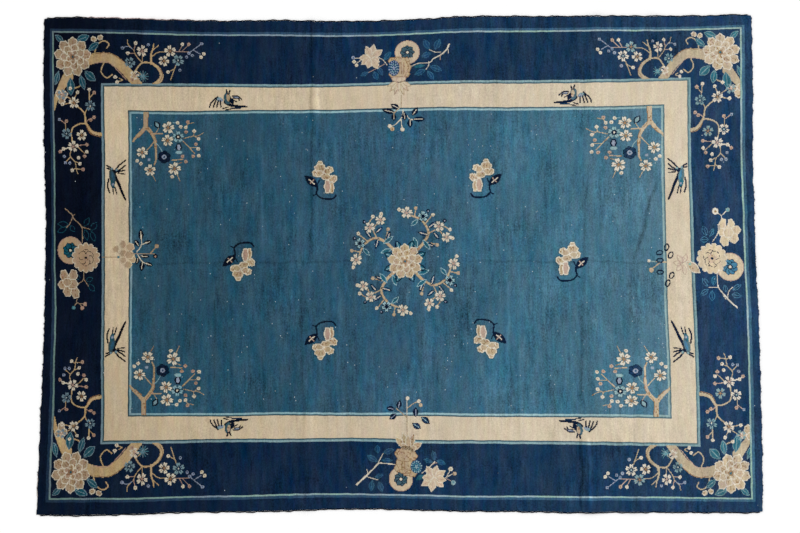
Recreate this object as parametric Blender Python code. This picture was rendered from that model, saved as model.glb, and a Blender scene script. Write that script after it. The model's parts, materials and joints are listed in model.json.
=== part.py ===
"""A hand-knotted wool carpet with two overcast side cords, lying on a floor as one flat sheet.

Metres, +Z up. X runs along the carpet's length, Y along its width, and the origin is on the floor
under the middle. The outline wanders as a hand-woven carpet's does, and low folds left from storage
lift the cloth off the floor while its thickness stays the same.
"""

from collections import namedtuple
import math

import bmesh
import bpy

WOVEN_HALF_LENGTH = 1.800  # the straight grid that the carpet was woven on, centre to end
WOVEN_HALF_WIDTH = 1.250
CARPET_THICKNESS = 0.007  # cotton foundation and worn pile
CORNER_PULL = 0.004  # how far each worn corner is drawn in, along X and along Y

CORD_DIAMETER = 0.0064  # side cord with its wrapping yarn
CORD_SHORTFALL = 0.012  # the cords stop this far before the woven corners
CORD_SIDE_STEPS = 2  # a tube of eight sides
PIECE_GAP = 0.0005  # between the carpet's edge and a cord

PLAIN_COLUMN_SPACING = 0.180  # stations along the length where the cloth is flat
PLAIN_ROW_SPACING = 0.180  # stations across the width where the cloth is flat
STATIONS_PER_FOLD_SIDE = 3  # stations from a fold's crown to its foot
CLOSEST_STATIONS = 0.011  # stations nearer than this are merged
FOLD_FADE = 0.22  # length over which a fold dies away inside the cloth

PILE_BLUE = (0.045, 0.130, 0.185, 1.0)
CORD_NAVY = (0.012, 0.020, 0.045, 1.0)
WOOL_ROUGHNESS = 0.95

# The two short ends: where each lies at a place across the width.
EndCourse = namedtuple("EndCourse", "y left_x right_x")
END_COURSES = (
    EndCourse(-1.250, -1.8165, 1.8165),
    EndCourse(-1.000, -1.8055, 1.8155),
    EndCourse(-0.750, -1.7945, 1.8105),
    EndCourse(-0.500, -1.7835, 1.8035),
    EndCourse(-0.250, -1.7760, 1.7955),
    EndCourse(0.000, -1.7710, 1.7815),
    EndCourse(0.250, -1.7695, 1.7750),
    EndCourse(0.500, -1.7755, 1.7665),
    EndCourse(0.750, -1.7790, 1.7680),
    EndCourse(1.000, -1.7805, 1.7650),
    EndCourse(1.250, -1.7750, 1.7580),
)

# The two long sides, cords included: where each lies at a place along the length.
SideCourse = namedtuple("SideCourse", "x near_y far_y")
SIDE_COURSES = (
    SideCourse(-1.80, -1.2570, 1.2380),
    SideCourse(-1.56, -1.2575, 1.2420),
    SideCourse(-1.32, -1.2515, 1.2355),
    SideCourse(-1.08, -1.2415, 1.2280),
    SideCourse(-0.84, -1.2390, 1.2230),
    SideCourse(-0.60, -1.2360, 1.2270),
    SideCourse(-0.36, -1.2260, 1.2220),
    SideCourse(-0.12, -1.2240, 1.2230),
    SideCourse(0.12, -1.2300, 1.2320),
    SideCourse(0.36, -1.2355, 1.2460),
    SideCourse(0.60, -1.2370, 1.2470),
    SideCourse(0.84, -1.2430, 1.2470),
    SideCourse(1.08, -1.2410, 1.2485),
    SideCourse(1.32, -1.2410, 1.2475),
    SideCourse(1.56, -1.2420, 1.2500),
    SideCourse(1.80, -1.2415, 1.2565),
)

# Low folds, each from one end of its crown to the other; bow is how far the crown strays sideways
# halfway along. A fold that starts or stops inside the cloth fades out there, and one that is given
# past the edge runs off it.
Fold = namedtuple("Fold", "start_x start_y stop_x stop_y bow half_width height")
FOLDS = (
    Fold(-1.19, -1.60, -1.21, 1.60, 0.010, 0.080, 0.0040),
    Fold(-0.47, -1.60, -0.42, 1.60, -0.016, 0.055, 0.0055),
    Fold(0.11, -1.05, 0.13, -0.05, 0.006, 0.050, 0.0030),
    Fold(0.55, -1.05, 0.53, -0.02, -0.006, 0.050, 0.0035),
    Fold(0.96, -1.60, 1.01, 1.60, -0.018, 0.085, 0.0075),
    Fold(1.16, -1.60, 1.27, 1.60, 0.014, 0.070, 0.0055),
    Fold(-2.20, -0.01, 2.20, 0.03, 0.008, 0.045, 0.0028),
)


def along(rows, column, place):
    """The named column of a table at a place between its rows, on a smooth curve through them."""
    places = [row[0] for row in rows]
    values = [getattr(row, column) for row in rows]
    last = len(rows) - 2
    i = max(0, min(last, sum(p <= place for p in places) - 1))
    span = places[i + 1] - places[i]
    t = min(1.0, max(0.0, (place - places[i]) / span))
    before = values[i - 1] if i > 0 else values[i]
    after = values[i + 2] if i < last else values[i + 1]
    slope_in = (values[i + 1] - before) / 2
    slope_out = (after - values[i]) / 2
    return (
        (2 * t**3 - 3 * t**2 + 1) * values[i]
        + (t**3 - 2 * t**2 + t) * slope_in
        + (3 * t**2 - 2 * t**3) * values[i + 1]
        + (t**3 - t**2) * slope_out
    )


def smooth(share):
    """0 to 1 with level ends, for a share from 0 to 1."""
    share = min(1.0, max(0.0, share))
    return share * share * (3 - 2 * share)


def lift(x, y):
    """How far the folds raise the cloth off the floor at a point."""
    total = 0.0
    for fold in FOLDS:
        run_x, run_y = fold.stop_x - fold.start_x, fold.stop_y - fold.start_y
        length = math.hypot(run_x, run_y)
        along_fold = ((x - fold.start_x) * run_x + (y - fold.start_y) * run_y) / length
        across = ((x - fold.start_x) * run_y - (y - fold.start_y) * run_x) / length
        across -= fold.bow * math.sin(math.pi * along_fold / length)
        crown = smooth(1 - abs(across) / fold.half_width)
        fade = smooth(along_fold / FOLD_FADE) * smooth((length - along_fold) / FOLD_FADE)
        total = max(total, fold.height * crown * fade)
    return total


def woven_place(u, v, inset):
    """Where a point of the straight woven grid lies, with both long sides drawn in by inset."""
    near = along(SIDE_COURSES, "near_y", u) + inset
    far = along(SIDE_COURSES, "far_y", u) - inset
    left = along(END_COURSES, "left_x", v)
    right = along(END_COURSES, "right_x", v)
    x = left + (right - left) * (u + WOVEN_HALF_LENGTH) / (2 * WOVEN_HALF_LENGTH)
    y = near + (far - near) * (v + WOVEN_HALF_WIDTH) / (2 * WOVEN_HALF_WIDTH)
    return x, y


def merged(stations):
    """The stations in order, without those that crowd the one before; the two ends stay."""
    stations = sorted(stations)
    kept = [stations[0]]
    for place in stations[1:-1]:
        if place - kept[-1] >= CLOSEST_STATIONS and stations[-1] - place >= CLOSEST_STATIONS:
            kept.append(place)
    return kept + [stations[-1]]


def plain_stations(half_size, spacing):
    count = round(2 * half_size / spacing)
    return [-half_size + 2 * half_size * i / count for i in range(count + 1)]


def fold_stations(first, second, fold, half_size):
    """Stations over a fold whose crown drifts from one place to another."""
    reach = fold.half_width + abs(fold.bow) / 2
    low, high = min(first, second) - reach, max(first, second) + reach
    step = fold.half_width / STATIONS_PER_FOLD_SIDE
    count = math.ceil((high - low) / step)
    places = [low + (high - low) * i / count for i in range(count + 1)]
    return [p for p in places if abs(p) < half_size]


def column_stations():
    stations = plain_stations(WOVEN_HALF_LENGTH, PLAIN_COLUMN_SPACING)
    for fold in FOLDS:
        if abs(fold.stop_x - fold.start_x) < abs(fold.stop_y - fold.start_y):
            stations += fold_stations(fold.start_x, fold.stop_x, fold, WOVEN_HALF_LENGTH)
    return merged(stations)


def row_stations():
    stations = plain_stations(WOVEN_HALF_WIDTH, PLAIN_ROW_SPACING)
    for fold in FOLDS:
        if abs(fold.stop_x - fold.start_x) >= abs(fold.stop_y - fold.start_y):
            stations += fold_stations(fold.start_y, fold.stop_y, fold, WOVEN_HALF_WIDTH)
    return merged(stations)


def wool(name, colour):
    material = bpy.data.materials.new(name)
    material.use_nodes = True
    shader = material.node_tree.nodes["Principled BSDF"]
    shader.inputs["Base Color"].default_value = colour
    shader.inputs["Roughness"].default_value = WOOL_ROUGHNESS
    shader.inputs["Metallic"].default_value = 0.0
    return material


def place_in_scene(name, data, material):
    obj = bpy.data.objects.new(name, data)
    data.materials.append(material)
    bpy.context.scene.collection.objects.link(obj)
    return obj


def make_carpet(material):
    """The knotted sheet: its top face as a grid over the folds, extruded down by its thickness."""
    columns, rows = column_stations(), row_stations()
    bm = bmesh.new()
    grid = []
    for u in columns:
        line = []
        for v in rows:
            x, y = woven_place(u, v, CORD_DIAMETER + PIECE_GAP)
            if u in (columns[0], columns[-1]) and v in (rows[0], rows[-1]):
                x -= math.copysign(CORNER_PULL, x)
                y -= math.copysign(CORNER_PULL, y)
            line.append(bm.verts.new((x, y, CARPET_THICKNESS + lift(x, y))))
        grid.append(line)
    for left, right in zip(grid, grid[1:]):
        for i in range(len(rows) - 1):
            bm.faces.new((left[i], right[i], right[i + 1], left[i + 1]))
    made = bmesh.ops.extrude_face_region(bm, geom=bm.faces[:])
    under = [item for item in made["geom"] if isinstance(item, bmesh.types.BMVert)]
    bmesh.ops.translate(bm, verts=under, vec=(0, 0, -CARPET_THICKNESS))
    bmesh.ops.recalc_face_normals(bm, faces=bm.faces[:])
    mesh = bpy.data.meshes.new("carpet")
    bm.to_mesh(mesh)
    bm.free()
    return place_in_scene("carpet", mesh, material)


def make_side_cord(name, v, material):
    """An overcast cord along one long side, over the same folds as the cloth's edge."""
    radius = CORD_DIAMETER / 2
    end = WOVEN_HALF_LENGTH - CORD_SHORTFALL
    columns = [-end] + [u for u in column_stations() if abs(u) < end - CLOSEST_STATIONS] + [end]
    curve = bpy.data.curves.new(name, "CURVE")
    curve.dimensions = "3D"
    curve.bevel_depth = radius
    curve.bevel_resolution = CORD_SIDE_STEPS
    curve.use_fill_caps = True
    spline = curve.splines.new("POLY")
    spline.points.add(len(columns) - 1)
    for point, u in zip(spline.points, columns):
        x, y = woven_place(u, v, radius)
        point.co = (x, y, radius + lift(x, y), 1)
    return place_in_scene(name, curve, material)


def main():
    for obj in list(bpy.data.objects):
        bpy.data.objects.remove(obj)
    make_carpet(wool("wool_pile", PILE_BLUE))
    cord_yarn = wool("cord_yarn", CORD_NAVY)
    make_side_cord("side_cord_near", -WOVEN_HALF_WIDTH, cord_yarn)
    make_side_cord("side_cord_far", WOVEN_HALF_WIDTH, cord_yarn)


main()
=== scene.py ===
import json
import math
from collections import namedtuple

import bpy
import numpy as np
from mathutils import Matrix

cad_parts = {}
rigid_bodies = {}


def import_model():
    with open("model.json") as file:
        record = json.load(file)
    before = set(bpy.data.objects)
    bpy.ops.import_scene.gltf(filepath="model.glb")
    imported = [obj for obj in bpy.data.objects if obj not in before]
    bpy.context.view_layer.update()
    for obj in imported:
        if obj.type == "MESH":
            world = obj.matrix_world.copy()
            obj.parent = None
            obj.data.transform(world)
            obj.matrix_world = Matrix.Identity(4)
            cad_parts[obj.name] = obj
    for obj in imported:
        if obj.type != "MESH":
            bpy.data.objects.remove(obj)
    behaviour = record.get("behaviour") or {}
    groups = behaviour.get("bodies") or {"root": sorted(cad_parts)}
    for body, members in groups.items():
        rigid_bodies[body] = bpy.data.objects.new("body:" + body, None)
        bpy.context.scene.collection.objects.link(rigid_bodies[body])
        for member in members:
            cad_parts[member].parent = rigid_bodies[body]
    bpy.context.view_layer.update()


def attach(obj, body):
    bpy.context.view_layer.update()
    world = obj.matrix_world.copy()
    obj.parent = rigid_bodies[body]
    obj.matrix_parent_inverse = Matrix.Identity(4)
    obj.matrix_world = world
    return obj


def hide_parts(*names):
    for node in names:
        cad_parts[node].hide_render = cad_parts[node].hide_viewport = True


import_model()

# Sizes of the cloth and its pile, in metres
KNOT = 0.0034  # one knot of the pile, along and across
CARPET_THICKNESS = 0.007
CORD_DIAMETER = 0.0064
PIECE_GAP = 0.0005  # cloth to cord
CORD_SHORTFALL = 0.012  # the cords stop this far before the corners
CORNER_RADIUS = 0.014
MESH_SPACING = 0.016  # of the cloth's grid
RIM_STEPS = ((0.0, 0.0030), (0.0012, 0.0012), (0.0035, 0.0003))  # in from the edge, pile cut down
RAISED_PILE = 0.0006  # the motifs' pile stands this far above the ground's
FOLD_FADE = 0.22
UNEVENNESS = 0.0007  # the cloth's soft bumps between the folds
KNOT_WANDER = 0.0005  # the knots' rows are not quite straight
LINE_WANDER = 0.006  # nor are the stripes' lines
FIBRE_SIZE = 0.0011  # loose wool fibres, drawn coarse so that they show
TUFT_RELIEF = 0.0010  # bump of the cut tufts

# The side cords
CORD_SIDES = 8  # of the tube
WRAP_PITCH = 0.0052  # one turn of the overcasting yarn, drawn a little coarse so that it shows
WRAP_STEPS = 4  # rings of points to a turn
WRAP_RELIEF = 0.0005
CORD_WANDER = 0.0010
YARN_FIBRE_SIZE = 0.0009

# The studio: an even room, one large soft light, and a camera straight above
AMBIENT = 0.76
KEY_STRENGTH = 1.11
KEY_SPREAD, KEY_ELEVATION, KEY_AZIMUTH = 30.0, 50.0, 35.0  # degrees
FLOOR_SIZE = 60.0
FLOOR_GAP = 0.0004  # under the cloth
CAMERA_X, CAMERA_Y = 0.0025, -0.0075
CAMERA_LENS = 70.0
SENSOR_WIDTH = 36.0
VIEW_WIDTH = 4.0  # the picture's width on the floor
CAMERA_HEIGHT = CARPET_THICKNESS + VIEW_WIDTH * CAMERA_LENS / SENSOR_WIDTH

# The design's straight lines as they were meant on the loom, out from the middle
EDGE_U, EDGE_V = 1.785, 1.240
GUARD_U, GUARD_V = 1.735, 1.158  # pale line of the guard stripe
BORDER_WIDTH = 0.270  # guard line to the cream band
CREAM_WIDTH = 0.1165

# Stripes of the design: how far inside the guard line each starts and stops, its dye, and the dye
# of the wool lot that it was carried on with here and there
Stripe = namedtuple("Stripe", "start stop dye second_lot")
FIELD_DEPTH = BORDER_WIDTH + CREAM_WIDTH
STRIPES = (
    Stripe(-0.0165, -0.0038, "slate", "slate"),
    Stripe(-0.0038, 0.0042, "guard_green", "guard_grey"),
    Stripe(BORDER_WIDTH - 0.0170, BORDER_WIDTH - 0.0070, "outer_line", "outer_line"),
    Stripe(BORDER_WIDTH - 0.0070, BORDER_WIDTH, "deep_teal", "deep_teal"),
    Stripe(BORDER_WIDTH, FIELD_DEPTH, "cream", "cream"),
    Stripe(FIELD_DEPTH, FIELD_DEPTH + 0.0074, "deep_teal", "deep_teal"),
    Stripe(FIELD_DEPTH + 0.0074, FIELD_DEPTH + 0.0170, "inner_line", "inner_line"),
    Stripe(FIELD_DEPTH + 0.0170, 9.0, "field_blue", "field_blue"),
)

# Where the weaver's lines really run across the length, at places up the width
EndCourse = namedtuple(
    "EndCourse",
    "v left_edge left_guard left_cream left_field right_field right_cream right_guard right_edge",
)
END_COURSES = (
    EndCourse(-1.250, -1.8165, -1.7510, -1.4860, -1.3590, 1.3690, 1.4930, 1.7640, 1.8165),
    EndCourse(-1.000, -1.8055, -1.7445, -1.4810, -1.3590, 1.3650, 1.4895, 1.7590, 1.8155),
    EndCourse(-0.750, -1.7945, -1.7310, -1.4755, -1.3585, 1.3610, 1.4850, 1.7540, 1.8105),
    EndCourse(-0.500, -1.7835, -1.7265, -1.4770, -1.3570, 1.3555, 1.4790, 1.7475, 1.8035),
    EndCourse(-0.250, -1.7760, -1.7200, -1.4740, -1.3550, 1.3430, 1.4685, 1.7400, 1.7955),
    EndCourse(0.000, -1.7710, -1.7240, -1.4725, -1.3535, 1.3365, 1.4575, 1.7275, 1.7815),
    EndCourse(0.250, -1.7695, -1.7250, -1.4735, -1.3555, 1.3310, 1.4505, 1.7195, 1.7750),
    EndCourse(0.500, -1.7755, -1.7255, -1.4715, -1.3555, 1.3260, 1.4415, 1.7100, 1.7665),
    EndCourse(0.750, -1.7790, -1.7310, -1.4755, -1.3570, 1.3245, 1.4390, 1.7085, 1.7680),
    EndCourse(1.000, -1.7805, -1.7320, -1.4775, -1.3570, 1.3220, 1.4370, 1.7075, 1.7650),
    EndCourse(1.250, -1.7750, -1.7335, -1.4785, -1.3570, 1.3190, 1.4345, 1.7055, 1.7580),
)
SideCourse = namedtuple(
    "SideCourse",
    "u near_edge near_guard near_cream near_field far_field far_cream far_guard far_edge",
)
SIDE_COURSES = (
    SideCourse(-1.80, -1.2570, -1.1705, -0.8795, -0.7590, 0.7755, 0.8930, 1.1675, 1.2380),
    SideCourse(-1.56, -1.2575, -1.1690, -0.8780, -0.7590, 0.7740, 0.8925, 1.1645, 1.2420),
    SideCourse(-1.32, -1.2515, -1.1690, -0.8760, -0.7580, 0.7725, 0.8915, 1.1595, 1.2355),
    SideCourse(-1.08, -1.2415, -1.1605, -0.8725, -0.7570, 0.7695, 0.8905, 1.1520, 1.2280),
    SideCourse(-0.84, -1.2390, -1.1575, -0.8675, -0.7575, 0.7730, 0.8895, 1.1495, 1.2230),
    SideCourse(-0.60, -1.2360, -1.1500, -0.8680, -0.7525, 0.7760, 0.8865, 1.1490, 1.2270),
    SideCourse(-0.36, -1.2260, -1.1460, -0.8640, -0.7545, 0.7765, 0.8880, 1.1455, 1.2220),
    SideCourse(-0.12, -1.2240, -1.1485, -0.8650, -0.7560, 0.7825, 0.8945, 1.1475, 1.2230),
    SideCourse(0.12, -1.2300, -1.1530, -0.8745, -0.7550, 0.7890, 0.9020, 1.1575, 1.2320),
    SideCourse(0.36, -1.2355, -1.1585, -0.8750, -0.7600, 0.7915, 0.9075, 1.1675, 1.2460),
    SideCourse(0.60, -1.2370, -1.1575, -0.8770, -0.7610, 0.7895, 0.9070, 1.1680, 1.2470),
    SideCourse(0.84, -1.2430, -1.1605, -0.8800, -0.7615, 0.7920, 0.9090, 1.1705, 1.2470),
    SideCourse(1.08, -1.2410, -1.1610, -0.8835, -0.7635, 0.7945, 0.9120, 1.1735, 1.2485),
    SideCourse(1.32, -1.2410, -1.1630, -0.8880, -0.7670, 0.8030, 0.9185, 1.1735, 1.2475),
    SideCourse(1.56, -1.2420, -1.1670, -0.8920, -0.7700, 0.8070, 0.9230, 1.1800, 1.2500),
    SideCourse(1.80, -1.2415, -1.1690, -0.8940, -0.7720, 0.8115, 0.9260, 1.1885, 1.2565),
)

# Small waves of the outer edges, between the courses
Wave = namedtuple("Wave", "length height start")
EDGE_WAVES = (
    Wave(0.173, 0.0012, 0.4),
    Wave(0.097, 0.0011, 2.1),
    Wave(0.061, 0.0009, 5.2),
)

# Low folds, each from one end of its crown to the other; bow is how far it strays sideways
Fold = namedtuple("Fold", "start_x start_y stop_x stop_y bow half_width height")
FOLDS = (
    Fold(-1.19, -1.60, -1.21, 1.60, 0.010, 0.080, 0.0040),
    Fold(-0.47, -1.60, -0.42, 1.60, -0.016, 0.055, 0.0055),
    Fold(0.11, -1.05, 0.13, -0.05, 0.006, 0.050, 0.0030),
    Fold(0.55, -1.05, 0.53, -0.02, -0.006, 0.050, 0.0035),
    Fold(0.96, -1.60, 1.01, 1.60, -0.018, 0.085, 0.0075),
    Fold(1.16, -1.60, 1.27, 1.60, 0.014, 0.070, 0.0055),
    Fold(-2.20, -0.01, 2.20, 0.03, 0.008, 0.045, 0.0028),
)

# Dyes, as sRGB hex, each with five shades from the left end to the right end. The shades grow lighter more
# and more towards the right-hand end: painted light, the brighter light and sheen of the pile over that end.
# Lean is how much further along these shades a dye is at the left end's near corner, or at its far one if it
# is negative; mottle is how uneven it has become.
Dye = namedtuple("Dye", "name left_end left_middle middle right_middle right_end lean mottle")
DYES = {
    dye.name: dye
    for dye in (
        Dye("navy", "060c1a", "0e2037", "172e4a", "1c3651", "233d5b", 0.08, 1.1),
        Dye("field_blue", "2a4959", "274a5d", "33576d", "406b80", "54788a", 0.0, 1.0),
        Dye("cream", "a9977b", "bcab8f", "c7b8a0", "d0c2aa", "d3c5ad", -0.26, 0.42),
        Dye("blossom_cream", "b4ac9a", "bfb6a2", "cdc4b1", "d6cfbe", "dcd4c4", 0.0, 0.5),
        Dye("tan", "8e7a62", "9e8c6e", "b29e80", "b8a78b", "c4b296", 0.0, 0.6),
        Dye("bough", "9f8763", "a8916e", "b29c7c", "b6a68a", "bcad92", 0.0, 0.6),
        Dye("pale_tan", "967f66", "a8947a", "beab92", "cbbaa0", "d0bfa2", 0.0, 0.5),
        Dye("brown", "75593f", "80644a", "8d7054", "957859", "9a7e60", 0.0, 0.6),
        Dye("rose", "907668", "9c8273", "ad9484", "b69f90", "bea697", 0.0, 0.6),
        Dye("guard_green", "5d756f", "7c9890", "8ba9a2", "93b3a8", "95b5a8", 0.0, 0.7),
        Dye("guard_grey", "5c6a70", "788a98", "8b9fa8", "95aab0", "97acb0", 0.0, 0.7),
        Dye("outer_line", "5c7079", "748e92", "84a0a4", "88a4a8", "7f9da1", 0.0, 0.7),
        Dye("inner_line", "68828a", "7c9da2", "90b0b6", "96b6ba", "88a2a0", 0.0, 0.6),
        Dye("deep_teal", "2b3d41", "304c56", "3b5661", "4a6470", "5d777c", 0.0, 0.8),
        Dye("slate", "1b2c3f", "2b435a", "33506a", "3a5c78", "42677e", 0.0, 0.9),
        Dye("blossom_teal", "3d6a74", "42737e", "4c7f8b", "588b97", "61949c", 0.0, 0.8),
        Dye("leaf_teal", "16404c", "1e4957", "28596a", "306476", "366b7b", 0.0, 0.9),
        Dye("leaf_blue", "24455a", "2a4f66", "345c74", "3f6c86", "4b7f9c", 0.0, 0.9),
        Dye("dusk", "10233a", "172f4c", "1f4162", "274b6c", "30567a", 0.0, 1.0),
        Dye("lavender", "757d8e", "7f8899", "8a93a6", "939cad", "98a1b0", 0.0, 0.7),
        Dye("ink", "050813", "07101f", "0a172c", "0d1c34", "101f38", 0.0, 1.0),
    )
}
LIGHT_RAMP_REACH = 1.6  # left and right of the middle, where the first and last of a dye's shades lie
DYE_NUMBERS = {name: number for number, name in enumerate(DYES, 1)}
COTTON = "cfc4b0"
WORN_KNOT = "d3dee0"
FLECK_SHARES = (0.0004, 0.0040)  # of the knots, where fewest and most have worn away
# Near-black navy of the overcast cords at the left and the right end: their own dark yarn, drawn near-black
# so that it also holds painted shade along the rug's sides; the step from left to right is the same painted
# light as the dyes'.
CORD_NAVY = ("07090f", "0c1524")  # at the left and the right end
BARE_WARP = "b7a3a2"

# Uneven colour of the wool: the size of each layer of streaks and how strong it is
Streak = namedtuple("Streak", "width length strength start")
STREAKS = (
    Streak(0.340, 0.420, 0.38, 5.9),
    Streak(0.090, 0.420, 0.60, 3.1),
    Streak(0.034, 0.050, 0.50, 8.2),
    Streak(0.016, 0.120, 0.60, 7.7),
    Streak(0.008, 0.260, 0.30, 1.3),
    Streak(0.007, 0.010, 0.90, 2.6),
)
KNOT_UNEVENNESS = 0.36  # from one knot to the next

# Sharp old fold lines. Shade is how much painted shade (below 0) and painted highlight (above 0) lies along
# one, where a fold's shaded and lit sides fall; a darker one is also sunk and a lighter one raised in the
# same measure.
Crease = namedtuple("Crease", "start_x start_y stop_x stop_y half_width shade")
CREASE_RELIEF = 0.012  # metres for a shade of 1
CREASE_WANDER = 0.015
CREASE_OVERRUN, CREASE_FADE = 0.03, 0.06  # past a crease's ends and inside them, where its shade dies away
CREASES = (
    Crease(-1.35, 0.004, -0.22, 0.016, 0.010, -0.20),
    Crease(0.33, 0.020, 1.28, 0.014, 0.010, -0.20),
    Crease(1.285, 0.43, 1.175, 0.03, 0.016, -0.42),
    Crease(0.15, 0.18, 0.05, 0.02, 0.012, -0.35),
    Crease(-0.440, 1.23, -0.440, 0.02, 0.014, -0.28),
    Crease(-0.405, 1.23, -0.413, 0.02, 0.016, 0.22),
    Crease(-0.495, -0.02, -0.480, -0.80, 0.014, -0.26),
    Crease(-0.455, -0.02, -0.438, -0.80, 0.014, 0.18),
    Crease(-0.92, -0.02, -0.93, -0.68, 0.010, -0.20),
    Crease(-0.69, 0.75, -0.69, 0.02, 0.014, 0.20),
    Crease(-1.155, -0.02, -1.155, -0.50, 0.022, -0.26),
    Crease(0.125, -0.08, 0.13, -0.65, 0.009, 0.25),
    Crease(0.545, -0.06, 0.54, -0.60, 0.014, 0.30),
    Crease(0.60, -0.40, 0.61, -0.75, 0.024, 0.20),
    Crease(0.925, 0.40, 0.905, -0.72, 0.014, -0.26),
    Crease(0.905, -0.86, 0.908, -1.24, 0.014, -0.42),
    Crease(0.945, -0.86, 0.955, -1.24, 0.016, 0.60),
    Crease(1.10, -0.86, 1.20, -1.24, 0.014, -0.15),
)


def linear(hex_colour):
    """An sRGB hex colour as the linear RGBA that the shader works in."""
    channels = [int(hex_colour[i : i + 2], 16) / 255 for i in (0, 2, 4)]
    return tuple(c / 12.92 if c <= 0.04045 else ((c + 0.055) / 1.055) ** 2.4 for c in channels) + (1.0,)


def course(rows, column, places):
    """A table's column at the given places, on a smooth curve through its rows."""
    at = np.array([row[0] for row in rows])
    values = np.array([getattr(row, column) for row in rows])
    slopes = np.gradient(values, at)
    i = np.clip(np.searchsorted(at, places) - 1, 0, len(at) - 2)
    span = at[i + 1] - at[i]
    t = np.clip((places - at[i]) / span, 0, 1)
    return (
        (2 * t**3 - 3 * t**2 + 1) * values[i]
        + (t**3 - 2 * t**2 + t) * span * slopes[i]
        + (3 * t**2 - 2 * t**3) * values[i + 1]
        + (t**3 - t**2) * span * slopes[i + 1]
    )


def stray(places, lines, rows, others):
    """How far points lie from their straight place, between the lines that the table follows."""
    total = np.zeros_like(places)
    columns = rows[0]._fields[1:]
    for number, column in enumerate(columns):
        share = np.interp(places, lines, [float(number == k) for k in range(len(lines))])
        away = course(rows, column, others) - lines[number]
        if column.endswith("edge"):
            for wave in EDGE_WAVES:
                turn = 2 * math.pi * others / wave.length + wave.start + 2.3 * number
                away += wave.height * np.sin(turn + 0.8 * np.sin(turn * 0.37))
        total += share * away
    return total


def mirrored_lines(edge, guard):
    cream = guard - BORDER_WIDTH
    out = (edge, guard, cream, cream - CREAM_WIDTH)
    return [-place for place in out] + list(reversed(out))


U_LINES = mirrored_lines(EDGE_U, GUARD_U)
V_LINES = mirrored_lines(EDGE_V, GUARD_V)


def rounded(u, v):
    """The woven grid with its four corners drawn in to a round."""
    s = np.clip(1 - (EDGE_U - np.abs(u)) / CORNER_RADIUS, 0, 1)
    t = np.clip(1 - (EDGE_V - np.abs(v)) / CORNER_RADIUS, 0, 1)
    pull_u = s * (1 - np.sqrt(1 - t * t / 2)) * CORNER_RADIUS
    pull_v = t * (1 - np.sqrt(1 - s * s / 2)) * CORNER_RADIUS
    return u - np.sign(u) * pull_u, v - np.sign(v) * pull_v


def woven_place(u, v):
    """Where points of the straight woven grid lie on the real carpet."""
    u, v = rounded(np.asarray(u, float), np.asarray(v, float))
    return u + stray(u, U_LINES, END_COURSES, v), v + stray(v, V_LINES, SIDE_COURSES, u)


def smooth(share):
    share = np.clip(share, 0, 1)
    return share * share * (3 - 2 * share)


def lift(x, y):
    """How far the folds raise the cloth off the floor."""
    total = np.zeros_like(x)
    for fold in FOLDS:
        run_x, run_y = fold.stop_x - fold.start_x, fold.stop_y - fold.start_y
        length = math.hypot(run_x, run_y)
        along = ((x - fold.start_x) * run_x + (y - fold.start_y) * run_y) / length
        across = ((x - fold.start_x) * run_y - (y - fold.start_y) * run_x) / length
        across -= fold.bow * np.sin(math.pi * along / length)
        crown = smooth(1 - np.abs(across) / fold.half_width)
        fade = smooth(along / FOLD_FADE) * smooth((length - along) / FOLD_FADE)
        total = np.maximum(total, fold.height * crown * fade)
    soft = np.sin(37 * x + 3 * np.sin(9 * y)) * np.sin(11 * y + 2 * np.sin(13 * x))
    return total + UNEVENNESS * (0.5 + 0.5 * soft)


def add(tree, kind, inputs=(), **settings):
    """Adds a node with its settings. Each input is a value, a socket, or a node for its first output."""
    made = tree.nodes.new("ShaderNode" + kind)
    for name, value in settings.items():
        setattr(made, name, value)
    for socket, value in dict(inputs).items():
        if isinstance(value, bpy.types.Node):
            value = value.outputs[0]
        if isinstance(value, bpy.types.NodeSocket):
            tree.links.new(value, made.inputs[socket])
        else:
            made.inputs[socket].default_value = value
    return made


def stripe_mask(tree, inside, stripe):
    """White between a stripe's two lines and black elsewhere."""
    start = add(tree, "Math", {0: inside, 1: stripe.start}, operation="GREATER_THAN")
    stop = add(tree, "Math", {0: inside, 1: stripe.stop}, operation="LESS_THAN")
    return add(tree, "Math", {0: start, 1: stop}, operation="MULTIPLY")


def streaks(tree, weave, width, length, seed):
    """Soft streaks along the wefts, of the given size in metres, from 0 to 1."""
    spread = add(tree, "Mapping", {"Vector": weave, "Scale": (1 / width, 1 / length, 1),
                                   "Location": (seed, seed, 0)})
    return add(tree, "TexNoise", {"Vector": spread, "Scale": 1.0, "Detail": 2.0, "Roughness": 0.6},
               noise_dimensions="2D")


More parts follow.
